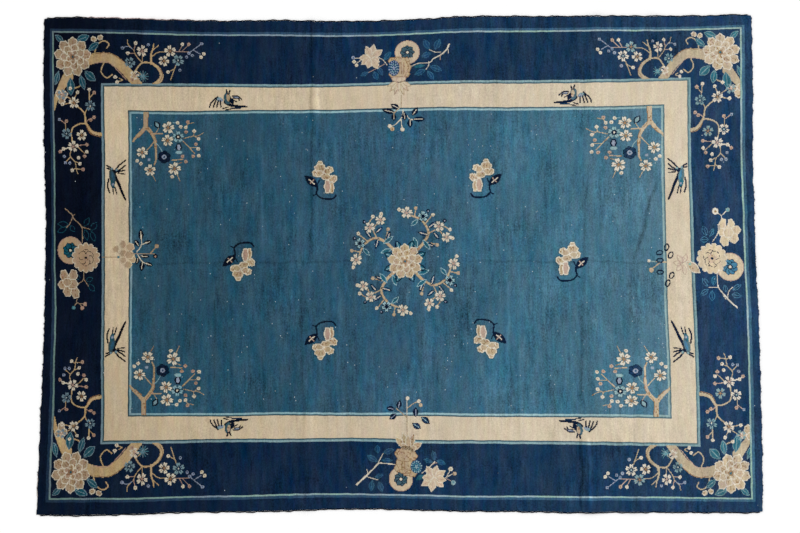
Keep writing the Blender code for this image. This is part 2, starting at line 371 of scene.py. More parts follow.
def wool_colour(tree, weave, colour, mottle, shade=0.0):
    """Colour with the abrash streaks and uneven knots of an old carpet, and the painted shade and highlight
    of any fold lines.
    """
    patches = streaks(tree, weave, 0.210, 0.260, 7.1)
    patches = add(tree, "MapRange", {0: patches, 1: 0.3, 2: 0.7, 3: 0.55, 4: 1.45})
    total = 0.0
    for streak in STREAKS:
        noise = streaks(tree, weave, streak.width, streak.length, streak.start)
        noise = add(tree, "Math", {0: noise, 1: 0.5}, operation="SUBTRACT")
        total = add(tree, "Math", {0: noise, 1: streak.strength, 2: total}, operation="MULTIPLY_ADD")
    total = add(tree, "Math", {0: total, 1: patches}, operation="MULTIPLY")
    knots = add(tree, "VectorMath", {0: weave, 1: (KNOT, KNOT, 1.0)}, operation="SNAP")
    knot = add(tree, "TexWhiteNoise", {"Vector": knots}, noise_dimensions="2D")
    knot = add(tree, "Math", {0: knot, 1: 0.5}, operation="SUBTRACT")
    total = add(tree, "Math", {0: knot, 1: KNOT_UNEVENNESS, 2: total}, operation="MULTIPLY_ADD")
    tone = add(tree, "Math", {0: total, 1: mottle, 2: 1.0}, operation="MULTIPLY_ADD")
    # the fold lines' painted shade and highlight lighten and darken the tone here
    tone = add(tree, "Math", {0: tone, 1: shade}, operation="ADD")
    tone = add(tree, "Math", {0: tone, 1: 0.25}, operation="MAXIMUM")
    hue = streaks(tree, weave, 0.022, 0.080, 9.4)
    hue = add(tree, "MapRange", {0: hue, 3: 0.475, 4: 0.525})
    strength = streaks(tree, weave, 0.050, 0.200, 6.1)
    strength = add(tree, "MapRange", {0: strength, 3: 0.80, 4: 1.20})
    return add(tree, "HueSaturation", {"Hue": hue, "Saturation": strength, "Value": tone, "Color": colour})


def flecks(tree, weave, colour, mottle):
    """Here and there in the mottled field a knot has worn away, and the pale foundation shows."""
    knots = add(tree, "VectorMath", {0: weave, 1: (KNOT, KNOT * 1.3, 1.0)}, operation="SNAP")
    knots = add(tree, "VectorMath", {0: knots, 1: (0.37, 0.71, 0.0)}, operation="ADD")
    pick = add(tree, "TexWhiteNoise", {"Vector": knots}, noise_dimensions="2D")
    bare = streaks(tree, weave, 0.11, 0.40, 4.4)
    rate = add(tree, "MapRange", {0: bare, 1: 0.46, 2: 0.75, 3: FLECK_SHARES[0], 4: FLECK_SHARES[1]})
    zone = add(tree, "MapRange", {0: mottle, 1: 0.95, 2: 1.0, 3: 0.12, 4: 1.0})
    navy = add(tree, "MapRange", {0: mottle, 1: 1.02, 2: 1.06, 3: 1.0, 4: 0.06})
    rate = add(tree, "Math", {0: rate, 1: zone}, operation="MULTIPLY")
    rate = add(tree, "Math", {0: rate, 1: navy}, operation="MULTIPLY")
    chosen = add(tree, "Math", {0: pick, 1: rate}, operation="LESS_THAN")
    depth = add(tree, "SeparateColor", {0: pick.outputs["Color"]})
    depth = add(tree, "MapRange", {0: depth.outputs[1], 3: 0.10, 4: 0.75})
    share = add(tree, "Math", {0: chosen, 1: depth}, operation="MULTIPLY")
    return add(tree, "Mix", {0: share, 6: colour, 7: linear(WORN_KNOT)}, data_type="RGBA").outputs[2]


def painted_fold_light(tree):
    """The painted shade and painted highlight of the sharp fold lines, by place over the floor."""
    place = add(tree, "TexCoord").outputs["Object"]
    waver = add(tree, "TexNoise", {"Vector": place, "Scale": 9.0, "Detail": 1.0})
    waver = add(tree, "MapRange", {0: waver, 3: -CREASE_WANDER, 4: CREASE_WANDER})
    total = None
    for crease in CREASES:
        run_x, run_y = crease.stop_x - crease.start_x, crease.stop_y - crease.start_y
        length = math.hypot(run_x, run_y)
        way = (run_x / length, run_y / length, 0.0)
        off = add(tree, "VectorMath", {0: place, 1: (crease.start_x, crease.start_y, 0.0)},
                  operation="SUBTRACT")
        along = add(tree, "VectorMath", {0: off, 1: way}, operation="DOT_PRODUCT").outputs["Value"]
        across = add(tree, "VectorMath", {0: off, 1: (way[1], -way[0], 0.0)}, operation="DOT_PRODUCT")
        across = add(tree, "Math", {0: across.outputs["Value"], 1: waver}, operation="ADD")
        across = add(tree, "Math", {0: across}, operation="ABSOLUTE")
        ridge = add(tree, "MapRange", {0: across, 1: 0.0, 2: crease.half_width, 3: crease.shade, 4: 0.0},
                    interpolation_type="SMOOTHSTEP")
        fade = add(tree, "MapRange", {0: along, 1: -CREASE_OVERRUN, 2: CREASE_FADE},
                   interpolation_type="SMOOTHSTEP")
        stop = add(tree, "MapRange", {0: along, 1: length - CREASE_FADE, 2: length + CREASE_OVERRUN, 3: 1.0,
                                      4: 0.0},
                   interpolation_type="SMOOTHSTEP")
        fade = add(tree, "Math", {0: fade, 1: stop}, operation="MULTIPLY")
        if total is None:
            total = add(tree, "Math", {0: ridge, 1: fade}, operation="MULTIPLY")
        else:
            total = add(tree, "Math", {0: ridge, 1: fade, 2: total}, operation="MULTIPLY_ADD")
    return total


def wool_surface(tree, weave, colour, shade=None):
    """Matt wool: cut tufts in their rows, with loose fibres over them, and any sharp fold lines."""
    tufts = add(tree, "TexVoronoi", {"Vector": weave, "Scale": 1 / KNOT, "Randomness": 0.45},
                voronoi_dimensions="2D")
    fibres = add(tree, "TexNoise", {"Vector": weave, "Scale": 1 / FIBRE_SIZE, "Detail": 1.0})
    lay = streaks(tree, weave, 0.014, 0.090, 2.2)
    height = add(tree, "Math", {0: fibres, 1: 0.35, 2: tufts.outputs["Distance"]}, operation="MULTIPLY_ADD")
    height = add(tree, "Math", {0: lay, 1: 1.0, 2: height}, operation="MULTIPLY_ADD")
    height = add(tree, "Math", {0: height, 1: TUFT_RELIEF}, operation="MULTIPLY")
    if shade is not None:
        height = add(tree, "Math", {0: shade, 1: CREASE_RELIEF, 2: height}, operation="MULTIPLY_ADD")
    bump = add(tree, "Bump", {"Height": height, "Strength": 0.6, "Distance": 1.0})
    shader = tree.nodes["Principled BSDF"]
    tree.links.new(colour, shader.inputs["Base Color"])
    tree.links.new(bump.outputs[0], shader.inputs["Normal"])
    rough = add(tree, "MapRange", {0: fibres, 3: 0.88, 4: 0.98})
    tree.links.new(rough.outputs[0], shader.inputs["Roughness"])
    shader.inputs["Specular IOR Level"].default_value = 0.02
    shader.inputs["Sheen Weight"].default_value = 0.01
    shader.inputs["Sheen Roughness"].default_value = 0.5


def new_material(name):
    material = bpy.data.materials.new(name)
    material.use_nodes = True
    return material, material.node_tree


def weave_map(tree):
    """The cloth's own coordinates, along the length and up the width in metres."""
    weave = add(tree, "UVMap", uv_map="weave")
    parts = add(tree, "SeparateXYZ", {0: weave})
    return weave, parts


def dye_in_painted_light(tree, dye, parts):
    """A dye at a place on the carpet, by how far along its shades it is there; the right end's lighter shades
    are painted light and sheen.
    """
    along = add(tree, "MapRange", {0: parts.outputs[0], 1: -LIGHT_RAMP_REACH, 2: LIGHT_RAMP_REACH})
    if dye.lean:
        near = add(tree, "MapRange", {0: parts.outputs[1], 1: 0.3, 2: -1.2, 3: max(-dye.lean, 0.0),
                                      4: max(dye.lean, 0.0)})
        early = add(tree, "MapRange", {0: along, 1: 0.0, 2: 0.4, 3: 1.0, 4: 0.0})
        along = add(tree, "Math", {0: near, 1: early, 2: along}, operation="MULTIPLY_ADD")
    return dyed(tree, dye, along)


def dyed(tree, dye, along):
    """A dye's colour along its shades, from the darker left end to the lighter right end, where painted light
    and sheen are laid over it.
    """
    ramp = add(tree, "ValToRGB", {0: along})
    shades = dye[1:6]
    stops = ramp.color_ramp.elements
    while len(stops) < len(shades):
        stops.new(0.5)
    for number, shade in enumerate(shades):
        stops[number].position = number / (len(shades) - 1)
        stops[number].color = linear(shade)
    return ramp


def ground_paint(tree, weave, parts):
    """The ground's plain bands, navy border to blue field, and how mottled each is."""
    waver = streaks(tree, weave, 0.060, 0.060, 6.6)
    inside = None
    for socket, guard in ((0, GUARD_U), (1, GUARD_V)):
        size = add(tree, "Math", {0: parts.outputs[socket]}, operation="ABSOLUTE")
        depth = add(tree, "Math", {0: guard, 1: size}, operation="SUBTRACT")
        if inside is None:
            inside = depth
        else:
            inside = add(tree, "Math", {0: inside, 1: depth}, operation="MINIMUM")
    inside = add(tree, "Math", {0: waver, 1: LINE_WANDER, 2: inside}, operation="MULTIPLY_ADD")
    inside = add(tree, "Math", {0: inside, 1: -LINE_WANDER / 2}, operation="ADD")
    colour = dye_in_painted_light(tree, DYES["navy"], parts)
    mottle = DYES["navy"].mottle
    for stripe in STRIPES:
        dye = DYES[stripe.dye]
        mask = stripe_mask(tree, inside, stripe)
        paint = dye_in_painted_light(tree, dye, parts)
        if stripe.second_lot != stripe.dye:
            lot = add(tree, "MapRange", {0: streaks(tree, weave, 0.30, 0.30, 12.3), 1: 0.46, 2: 0.56})
            second = dye_in_painted_light(tree, DYES[stripe.second_lot], parts)
            paint = add(tree, "Mix", {0: lot, 6: paint, 7: second}, data_type="RGBA").outputs[2]
        colour = add(tree, "Mix", {0: mask, 6: colour, 7: paint}, data_type="RGBA").outputs[2]
        mottle = add(tree, "Mix", {0: mask, 2: mottle, 3: dye.mottle}).outputs[0]
    return colour, mottle


def hand_knotted_ground():
    """Hand-knotted wool pile in the ground's bands: matt, streaked along the wefts, worn in specks."""
    material, tree = new_material("hand_knotted_wool_ground")
    weave, parts = weave_map(tree)
    colour, mottle = ground_paint(tree, weave, parts)
    # painted shade and highlight of the fold lines, in the colour and in the bump
    shade = painted_fold_light(tree)
    colour = wool_colour(tree, weave, colour, mottle, shade)
    wool_surface(tree, weave, flecks(tree, weave, colour, mottle), shade)
    return material


def hand_knotted_motif(dye):
    """Hand-knotted wool pile in one dye, for the motifs: matt, each knot a little off its neighbour."""
    material, tree = new_material("hand_knotted_wool_" + dye.name)
    weave, parts = weave_map(tree)
    colour = wool_colour(tree, weave, dye_in_painted_light(tree, dye, parts), dye.mottle)
    wool_surface(tree, weave, colour.outputs[0])
    return material


def knotted_back():
    """The carpet's back: flat rows of knot collars in the ground's bands, with cotton wefts between."""
    material, tree = new_material("woven_cotton_and_wool_back")
    weave, parts = weave_map(tree)
    colour = wool_colour(tree, weave, *ground_paint(tree, weave, parts))
    rows = add(tree, "Math", {0: parts.outputs[0], 1: 2 * math.pi / KNOT}, operation="MULTIPLY")
    rows = add(tree, "Math", {0: rows}, operation="SINE")
    weft = add(tree, "MapRange", {0: rows, 1: 0.75, 2: 1.0, 3: 0.0, 4: 0.6})
    colour = add(tree, "Mix", {0: weft, 6: colour, 7: linear(COTTON)}, data_type="RGBA").outputs[2]
    bump = add(tree, "Bump", {"Height": rows, "Strength": 0.5, "Distance": 0.0005})
    shader = tree.nodes["Principled BSDF"]
    tree.links.new(colour, shader.inputs["Base Color"])
    tree.links.new(bump.outputs[0], shader.inputs["Normal"])
    shader.inputs["Roughness"].default_value = 0.9
    shader.inputs["Specular IOR Level"].default_value = 0.02
    return material


def overcast_yarn(name, bare_start, bare_stop):
    """Navy wool overcast round cotton warps: dull yarn, worn through to the cotton along one stretch."""
    material, tree = new_material(name)
    weave, parts = weave_map(tree)
    # the cord's navy grows lighter towards the right end: painted light, as in the dyes
    along = add(tree, "MapRange", {0: parts.outputs[0], 1: -LIGHT_RAMP_REACH, 2: LIGHT_RAMP_REACH})
    shade = add(tree, "Mix", {0: along, 6: linear(CORD_NAVY[0]), 7: linear(CORD_NAVY[1])}, data_type="RGBA")
    worn = streaks(tree, weave, 0.014, 0.02, 8.8)
    start = add(tree, "MapRange", {0: parts.outputs[0], 1: bare_start - 0.03, 2: bare_start + 0.02})
    stop = add(tree, "MapRange", {0: parts.outputs[0], 1: bare_stop, 2: bare_stop + 0.6, 3: 1.0, 4: 0.0})
    bare = add(tree, "Math", {0: start, 1: stop}, operation="MULTIPLY")
    limit = add(tree, "MapRange", {0: bare, 3: 0.74, 4: 0.36})
    share = add(tree, "Math", {0: worn, 1: limit}, operation="SUBTRACT")
    share = add(tree, "Math", {0: share, 1: 12.0}, operation="MULTIPLY", use_clamp=True)
    outer = add(tree, "Attribute", attribute_name="outer_side", attribute_type="GEOMETRY")
    share = add(tree, "Math", {0: share, 1: outer.outputs["Fac"]}, operation="MULTIPLY")
    colour = add(tree, "Mix", {0: share, 6: shade.outputs[2], 7: linear(BARE_WARP)}, data_type="RGBA")
    fibres = add(tree, "TexNoise", {"Vector": weave, "Scale": 1 / YARN_FIBRE_SIZE, "Detail": 1.0})
    bump = add(tree, "Bump", {"Height": fibres, "Strength": 0.5, "Distance": 0.0006})
    shader = tree.nodes["Principled BSDF"]
    tree.links.new(colour.outputs[2], shader.inputs["Base Color"])
    tree.links.new(bump.outputs[0], shader.inputs["Normal"])
    shader.inputs["Roughness"].default_value = 0.92
    shader.inputs["Specular IOR Level"].default_value = 0.04
    return material


def bare_cotton():
    """Undyed cotton warp ends, grey-pink with soil."""
    material, tree = new_material("bare_cotton_warps")
    weave, parts = weave_map(tree)
    noise = streaks(tree, weave, 0.004, 0.004, 3.3)
    colour = add(tree, "Mix", {0: noise, 6: linear("8d7c72"), 7: linear("d2c2b4")}, data_type="RGBA")
    shader = tree.nodes["Principled BSDF"]
    tree.links.new(colour.outputs[2], shader.inputs["Base Color"])
    shader.inputs["Roughness"].default_value = 0.9
    shader.inputs["Specular IOR Level"].default_value = 0.04
    return material


def new_piece(name, points, faces, materials, weave, bake, face_slots=None, outer_side=None):
    """A mesh piece at the origin, with its weave coordinates and its map for baking, one row a point."""
    mesh = bpy.data.meshes.new(name)
    mesh.from_pydata(np.asarray(points).tolist(), [], faces)
    corners = np.empty(len(mesh.loops), int)
    mesh.loops.foreach_get("vertex_index", corners)
    for map_name, values in (("weave", weave), ("OFBake", bake)):
        values = np.asarray(values, float)
        mesh.uv_layers.new(name=map_name).data.foreach_set("uv", values[corners].ravel())
    if outer_side is not None:
        mesh.attributes.new("outer_side", "FLOAT", "POINT").data.foreach_set("value", outer_side)
    for material in materials:
        mesh.materials.append(material)
    if face_slots is not None:
        mesh.polygons.foreach_set("material_index", face_slots)
    mesh.polygons.foreach_set("use_smooth", [True] * len(mesh.polygons))
    mesh.update()
    piece = bpy.data.objects.new(name, mesh)
    bpy.context.scene.collection.objects.link(piece)
    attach(piece, "root")
    return piece


def stations(half_size):
    """Grid lines from edge to edge, close together at the rim."""
    rim = [step for step, _ in RIM_STEPS]
    inner = half_size - rim[-1]
    count = round(2 * inner / MESH_SPACING)
    middle = np.linspace(-inner, inner, count + 1)
    outer = np.array([half_size - step for step in rim[:-1]])
    return np.concatenate([-outer, middle, outer[::-1]])


BAKE_PARTS = ((0.68, 0.31), (0.29, 0.005))  # height and start of the pile and of the back on the baked map


def make_carpet():
    """The cloth: a closed sheet on its folds, with a rounded rim of pile."""
    cloth_v = EDGE_V - CORD_DIAMETER - PIECE_GAP
    columns, rows = stations(EDGE_U), stations(cloth_v)
    u, v = (grid.ravel() for grid in np.meshgrid(columns, rows, indexing="ij"))
    x, y = woven_place(u, v)
    raised = lift(x, y)
    depth = np.minimum(EDGE_U - np.abs(u), cloth_v - np.abs(v))
    cut = np.interp(depth, [step for step, _ in RIM_STEPS], [drop for _, drop in RIM_STEPS], right=0.0)
    top = np.column_stack([x, y, raised + CARPET_THICKNESS - cut])
    under = np.column_stack([x, y, raised + np.minimum(cut * 0.4, 0.001)])
    wide, deep = len(columns), len(rows)
    number = np.arange(wide * deep).reshape(wide, deep)
    upper = np.stack([number[:-1, :-1], number[1:, :-1], number[1:, 1:], number[:-1, 1:]], -1).reshape(-1, 4)
    lower = upper[:, ::-1] + wide * deep
    rim = np.concatenate([number[:, 0], number[-1, 1:], number[-2::-1, -1], number[0, -2:0:-1]])
    ahead = np.roll(rim, -1)
    wall = np.column_stack([ahead, rim, rim + wide * deep, ahead + wide * deep])
    faces = np.concatenate([upper, wall, lower])
    slots = np.concatenate([np.zeros(len(upper) + len(wall), int), np.ones(len(lower), int)])
    weave = np.column_stack([u, v])
    across = u / (2 * EDGE_U) * 0.99 + 0.5
    up = v / (2 * EDGE_V) + 0.5
    bake_top, bake_under = (np.column_stack([across, up * part + start]) for part, start in BAKE_PARTS)
    return new_piece(
        "carpet_cloth",
        np.concatenate([top, under]),
        faces.tolist(),
        [hand_knotted_ground(), knotted_back()],
        np.concatenate([weave, weave]),
        np.concatenate([bake_top, bake_under]),
        slots,
    )


BAKE_STRIPS = 16  # a cord lies on its baked map in this many lengths


def make_side_cord(name, side, material, rng):
    """An overcast cord: yarn wound round the outer warps, uneven where it has been pulled or worn."""
    half = EDGE_U - CORD_SHORTFALL
    count = round(2 * half / WRAP_PITCH * WRAP_STEPS)
    u = np.linspace(-half, half, count + 1)
    slow = np.interp(u, np.linspace(-half, half, 160), rng.uniform(-1, 1, 160))
    quick = np.interp(u, np.linspace(-half, half, 420), rng.uniform(-1, 1, 420))
    radius = CORD_DIAMETER / 2 * (0.94 + 0.05 * slow)
    taper = np.clip((half - np.abs(u)) / 0.006, 0.35, 1)
    x, y = woven_place(u, np.full_like(u, side * (EDGE_V - CORD_DIAMETER / 2)))
    y += side * CORD_WANDER * (quick + 0.4 * slow)
    base = lift(x, y)
    angles = np.arange(CORD_SIDES) * 2 * math.pi / CORD_SIDES
    turn = u[:, None] / WRAP_PITCH * 2 * math.pi + angles[None, :] * side
    reach = (radius[:, None] - WRAP_RELIEF * (0.5 + 0.5 * np.cos(turn))) * taper[:, None]
    tube = np.stack([
        np.repeat(x[:, None], CORD_SIDES, 1),
        y[:, None] + side * np.cos(angles)[None, :] * reach,
        (base + CORD_DIAMETER / 2)[:, None] + np.sin(angles)[None, :] * reach,
    ], -1).reshape(-1, 3)
    ends = [[x[k], y[k], base[k] + CORD_DIAMETER / 2] for k in (0, -1)]
    number = np.arange(len(u) * CORD_SIDES).reshape(len(u), CORD_SIDES)
    ring = np.roll(number, -1, 1)
    faces = np.stack([number[:-1], ring[:-1], ring[1:], number[1:]], -1).reshape(-1, 4).tolist()
    first, last = len(tube), len(tube) + 1
    faces += [(int(b), int(a), first) for a, b in zip(number[0], ring[0])]
    faces += [(int(a), int(b), last) for a, b in zip(number[-1], ring[-1])]
    if side > 0:
        faces = [face[::-1] for face in faces]
    share = np.append(np.tile(np.arange(CORD_SIDES) / CORD_SIDES, len(u)), [0.0, 0.0])
    along = np.append(np.repeat(u, CORD_SIDES), [u[0], u[-1]])
    strip = (along + half) / (2 * half) * (BAKE_STRIPS - 0.001)
    row = np.floor(strip)
    bake = np.column_stack([(strip - row) * 0.98 + 0.01, (row + 0.1 + 0.75 * share) / BAKE_STRIPS])
    outer = np.append(np.tile(np.clip(np.cos(angles) * 2 + 1.4, 0, 1), len(u)), [1.0, 1.0])
    weave = np.column_stack([along, share * math.pi * CORD_DIAMETER])
    return new_piece(name, np.concatenate([tube, ends]), faces, [material], weave, bake, outer_side=outer)


PETAL_LOBES = (-11.5, 11.5)  # degrees from the middle of a blossom's petal to its two lobes


class Chart:
    """A knotter's chart for one group of motifs: squares of one knot, each with its dye.

    Motifs are drawn in centimetres from the chart's own zero, a to the right and b towards the
    weaver; flip_a and flip_b mirror them. Nothing is knotted outside the depths between low and
    high, in metres in from the guard line.
    """

    def __init__(self, name, zero_u, zero_v, box, flip_a=1, flip_b=1, low=0.006, high=9.0):
        self.name = name
        low_a, low_b, high_a, high_b = (edge / 100 for edge in box)
        spread_u = sorted((zero_u + flip_a * low_a, zero_u + flip_a * high_a))
        spread_v = sorted((zero_v - flip_b * low_b, zero_v - flip_b * high_b))
        self.first_u, self.first_v = (math.floor(s[0] / KNOT) for s in (spread_u, spread_v))
        wide, deep = (math.ceil((s[1] - s[0]) / KNOT) + 1 for s in (spread_u, spread_v))
        u = (self.first_u + np.arange(wide) + 0.5) * KNOT
        v = (self.first_v + np.arange(deep) + 0.5) * KNOT
        self.a, self.b = np.meshgrid((u - zero_u) * 100 * flip_a, (zero_v - v) * 100 * flip_b, indexing="ij")
        inside = np.minimum.outer(GUARD_U - np.abs(u), GUARD_V - np.abs(v))
        self.open = (inside > low) & (inside < high)
        self.squares = np.zeros((wide, deep), int)

    def turn(self, degrees):
        """Turns the paper, so that what is drawn next falls that much further round."""
        angle = math.radians(degrees)
        a, b = self.a, self.b
        self.a = a * math.cos(angle) + b * math.sin(angle)
        self.b = b * math.cos(angle) - a * math.sin(angle)

    def crowd(self, nearer_a, nearer_b, start, stop):
        """Draws what comes next nearer the chart's zero: not at all up to start, in full past stop."""
        share = np.clip((np.maximum(self.a, self.b) - start) / (stop - start), 0, 1)
        self.a, self.b = self.a + nearer_a * share, self.b + nearer_b * share

    def paint(self, inside, dye):
        self.squares[inside & self.open] = DYE_NUMBERS[dye] if dye else 0

    def spot(self, a, b, radius, dye):
        self.paint(np.hypot(self.a - a, self.b - b) < radius, dye)

    def oval(self, a, b, long, short, turn, dye, ripple=0.0):
        """An oval, with six soft lobes where it has a ripple."""
        angle = math.radians(turn)
        da, db = self.a - a, self.b - b
        along = (da * math.cos(angle) + db * math.sin(angle)) / long
        across = (db * math.cos(angle) - da * math.sin(angle)) / short
        lobes = ripple * np.cos(6 * np.arctan2(across, along))
        self.paint(np.hypot(along, across) < 1 + lobes, dye)

    def line(self, points, dye, width=0.55, tip=None):
        """A smooth line through the points, narrowing from width to tip."""
        tip = width if tip is None else tip
        points = curved(points)
        steps = len(points) - 1
        for k in range(steps):
            (a0, b0), (a1, b1) = points[k], points[k + 1]
            run_a, run_b = a1 - a0, b1 - b0
            length = math.hypot(run_a, run_b) or 1e-6
            share = np.clip(((self.a - a0) * run_a + (self.b - b0) * run_b) / length**2, 0, 1)
            away = np.hypot(self.a - a0 - share * run_a, self.b - b0 - share * run_b)
            self.paint(away < (width + (tip - width) * (k + share) / steps) / 2, dye)

    def lines(self, dye, width, *paths):
        for path in paths:
            self.line(path, dye, width, width * 0.85)

    def leaf(self, base, tip, width, edge, fill=None, rim=0.34, fullness=0.95, vein=None):
        """A pointed leaf or petal with an outline; no fill leaves the ground showing inside it."""
        run_a, run_b = tip[0] - base[0], tip[1] - base[1]
        length = math.hypot(run_a, run_b)
        share = ((self.a - base[0]) * run_a + (self.b - base[1]) * run_b) / length**2
        across = np.abs((self.a - base[0]) * run_b - (self.b - base[1]) * run_a) / length
        bow = np.sin(math.pi * np.clip(share, 0, 1)) ** fullness * width / 2
        self.paint(across < bow, edge)
        self.paint((across < bow - rim) & (share * length > rim) & ((1 - share) * length > rim), fill)
        if vein:
            self.paint((across < 0.18) & (share > 0.12) & (share < 0.80), vein)

    def leaves(self, edge, fill, vein, *shapes):
        for base, tip, width in shapes:
            self.leaf(base, tip, width, edge, fill, vein=vein)

    def blossoms(self, petal, heart, *places, ground=None):
        """Prunus blossoms: five heart-shaped petals set apart round thin stamens.

        The ground dye, if any, is knotted between the petals.
        """
        for a, b, radius, turn in places:
            for dye, spread in ((ground, 0.28), (petal, 0.0)):
                for angle in (turn + 72 * k + side for k in range(5) for side in PETAL_LOBES if dye):
                    way = math.radians(angle)
                    at = (a + 0.66 * radius * math.sin(way), b - 0.66 * radius * math.cos(way))
                    self.oval(*at, 0.33 * radius + spread, 0.17 * radius + spread, angle - 90, dye)
            for k in range(5):
                way = math.radians(turn + 72 * k)
                stop = (a + 0.6 * radius * math.sin(way), b - 0.6 * radius * math.cos(way))
                self.line([(a, b), stop], heart, 0.55 if ground else 0.34, 0.34)
            self.spot(a, b, (0.2 if ground else 0.14) * radius, heart)

    def buds(self, dye, heart, *places, radius=0.9):
        for a, b in places:
            self.spot(a, b, radius, dye)
            self.spot(a, b + 0.15, radius * 0.42, heart)

    def petals(self, *shapes, edge="blossom_cream", fill="tan", rim=0.42):
        """Petals laid one over another, each lobed and with its pale edge."""
        for a, b, long, short, turn in shapes:
            self.oval(a, b, long, short, turn, edge, 0.07)
            self.oval(a, b, long - rim, short - rim, turn, fill, 0.07)

    def rosette(self, a, b, radius, count, edge, fill, heart, turn=0.0):
        """A flower seen from above: a ring of equal petals round a heart."""
        for k in range(count):
            angle = math.radians(turn) + 2 * math.pi * k / count
            tip = (a + radius * math.sin(angle), b - radius * math.cos(angle))
            self.leaf((a, b), tip, 2.2 * radius * math.sin(math.pi / count), edge, fill, fullness=0.7)
        self.spot(a, b, radius * 0.3, heart)

    def ring_of_petals(self, a, b, count, reach, long, short, turn=0.0):
        """Lobed petals standing round a middle, with a thin vein in each."""
        for k in range(count):
            angle = turn + 360 * k / count
            way = (math.sin(math.radians(angle)), -math.cos(math.radians(angle)))
            self.petals((a + reach * way[0], b + reach * way[1], long, short, angle - 90))
            start = (a + (reach - 0.2 * long) * way[0], b + (reach - 0.2 * long) * way[1])
            stop = (a + (reach + 0.45 * long) * way[0], b + (reach + 0.45 * long) * way[1])
            self.line([start, stop], "rose" if k % 2 else "brown", 0.36)

    def peony(self, a, b, radius):
        """A garden peony from above: three rings of lobed petals round dark seeds."""
        for count, reach, long, short, turn in ((9, 0.68, 0.34, 0.27, 0), (7, 0.42, 0.27, 0.22, 14),
                                                (5, 0.20, 0.19, 0.16, 30)):
            self.ring_of_petals(a, b, count, reach * radius, long * radius, short * radius, turn)
        self.spot(a, b, 0.14 * radius, "brown")
        self.spot(a, b, 0.06 * radius, "leaf_teal")

    def knotted(self, materials):
        """The chart as raised pile: a square of pile for each knot, with walls where it meets the ground."""
        self.mix_in_knots()
        filled = self.squares > 0
        i, j = np.nonzero(filled)
        wide, deep = filled.shape
        corner = np.arange((wide + 1) * (deep + 1)).reshape(wide + 1, deep + 1)
        tops = np.column_stack([corner[i, j], corner[i + 1, j], corner[i + 1, j + 1], corner[i, j + 1]])
        drop = corner.size
        padded = np.pad(filled, 1)
        walls, wall_dyes = [], []
        for di, dj, first, second in ((-1, 0, 3, 0), (1, 0, 1, 2), (0, -1, 0, 1), (0, 1, 2, 3)):
            bare = ~padded[i + 1 + di, j + 1 + dj]
            start, stop = tops[bare, first], tops[bare, second]
            walls.append(np.column_stack([stop, start, start + drop, stop + drop]))
            wall_dyes.append(self.squares[i, j][bare])
        faces = np.concatenate([tops] + walls)
        dyes = np.concatenate([self.squares[i, j]] + wall_dyes)
        used, faces = np.unique(faces, return_inverse=True)
        faces = faces.reshape(-1, 4)
        low = used >= drop
        place = used % drop
        ku, kv = place // (deep + 1), place % (deep + 1)
        u, v = (self.first_u + ku) * KNOT, (self.first_v + kv) * KNOT
        x, y = woven_place(u, v)
        column, row = self.first_u + ku, self.first_v + kv
        x += KNOT_WANDER * np.sin(column * 2.1 + row * 3.7)
        y += KNOT_WANDER * np.sin(column * 3.3 - row * 1.9)
        z = lift(x, y) + CARPET_THICKNESS + np.where(low, -RAISED_PILE, RAISED_PILE)
        span = max(wide, deep) + 2.0
        bake = np.column_stack([(ku + 1) / span, (kv + 1) / span])
        names = sorted(set(dyes.tolist()))
        chosen = [materials[number] for number in names]
        return new_piece(self.name, np.column_stack([x, y, z]), faces.tolist(), chosen,
                         np.column_stack([u, v]),
                         bake, np.searchsorted(names, dyes))

    def mix_in_knots(self):
        """The old wool lots were not even: here and there a pair of knots in the tan is of another one."""
        rng = np.random.default_rng(len(self.name))
        wide, deep = self.squares.shape
        pick = rng.random((wide // 2 + 1, deep // 2 + 1)).repeat(2, 0).repeat(2, 1)[:wide, :deep]
        tan = self.squares == DYE_NUMBERS["tan"]
        self.paint(tan & (pick < 0.08), "brown")
        self.paint(tan & (pick > 0.94), "rose")


def curved(points):
    """Points along a smooth curve through the given ones."""
    points = [np.array(p, float) for p in points]
    if len(points) < 3:
        return [tuple(p) for p in points]
    made = []
    ends = [2 * points[0] - points[1]] + points + [2 * points[-1] - points[-2]]
    for p0, p1, p2, p3 in zip(ends, ends[1:], ends[2:], ends[3:]):
        for t in (0.0, 0.25, 0.5, 0.75):
            made.append(tuple(0.5 * (2 * p1 + (p2 - p0) * t + (2 * p0 - 5 * p1 + 4 * p2 - p3) * t**2
                                     + (3 * p1 - p0 - 3 * p2 + p3) * t**3)))
    return made + [tuple(points[-1])]


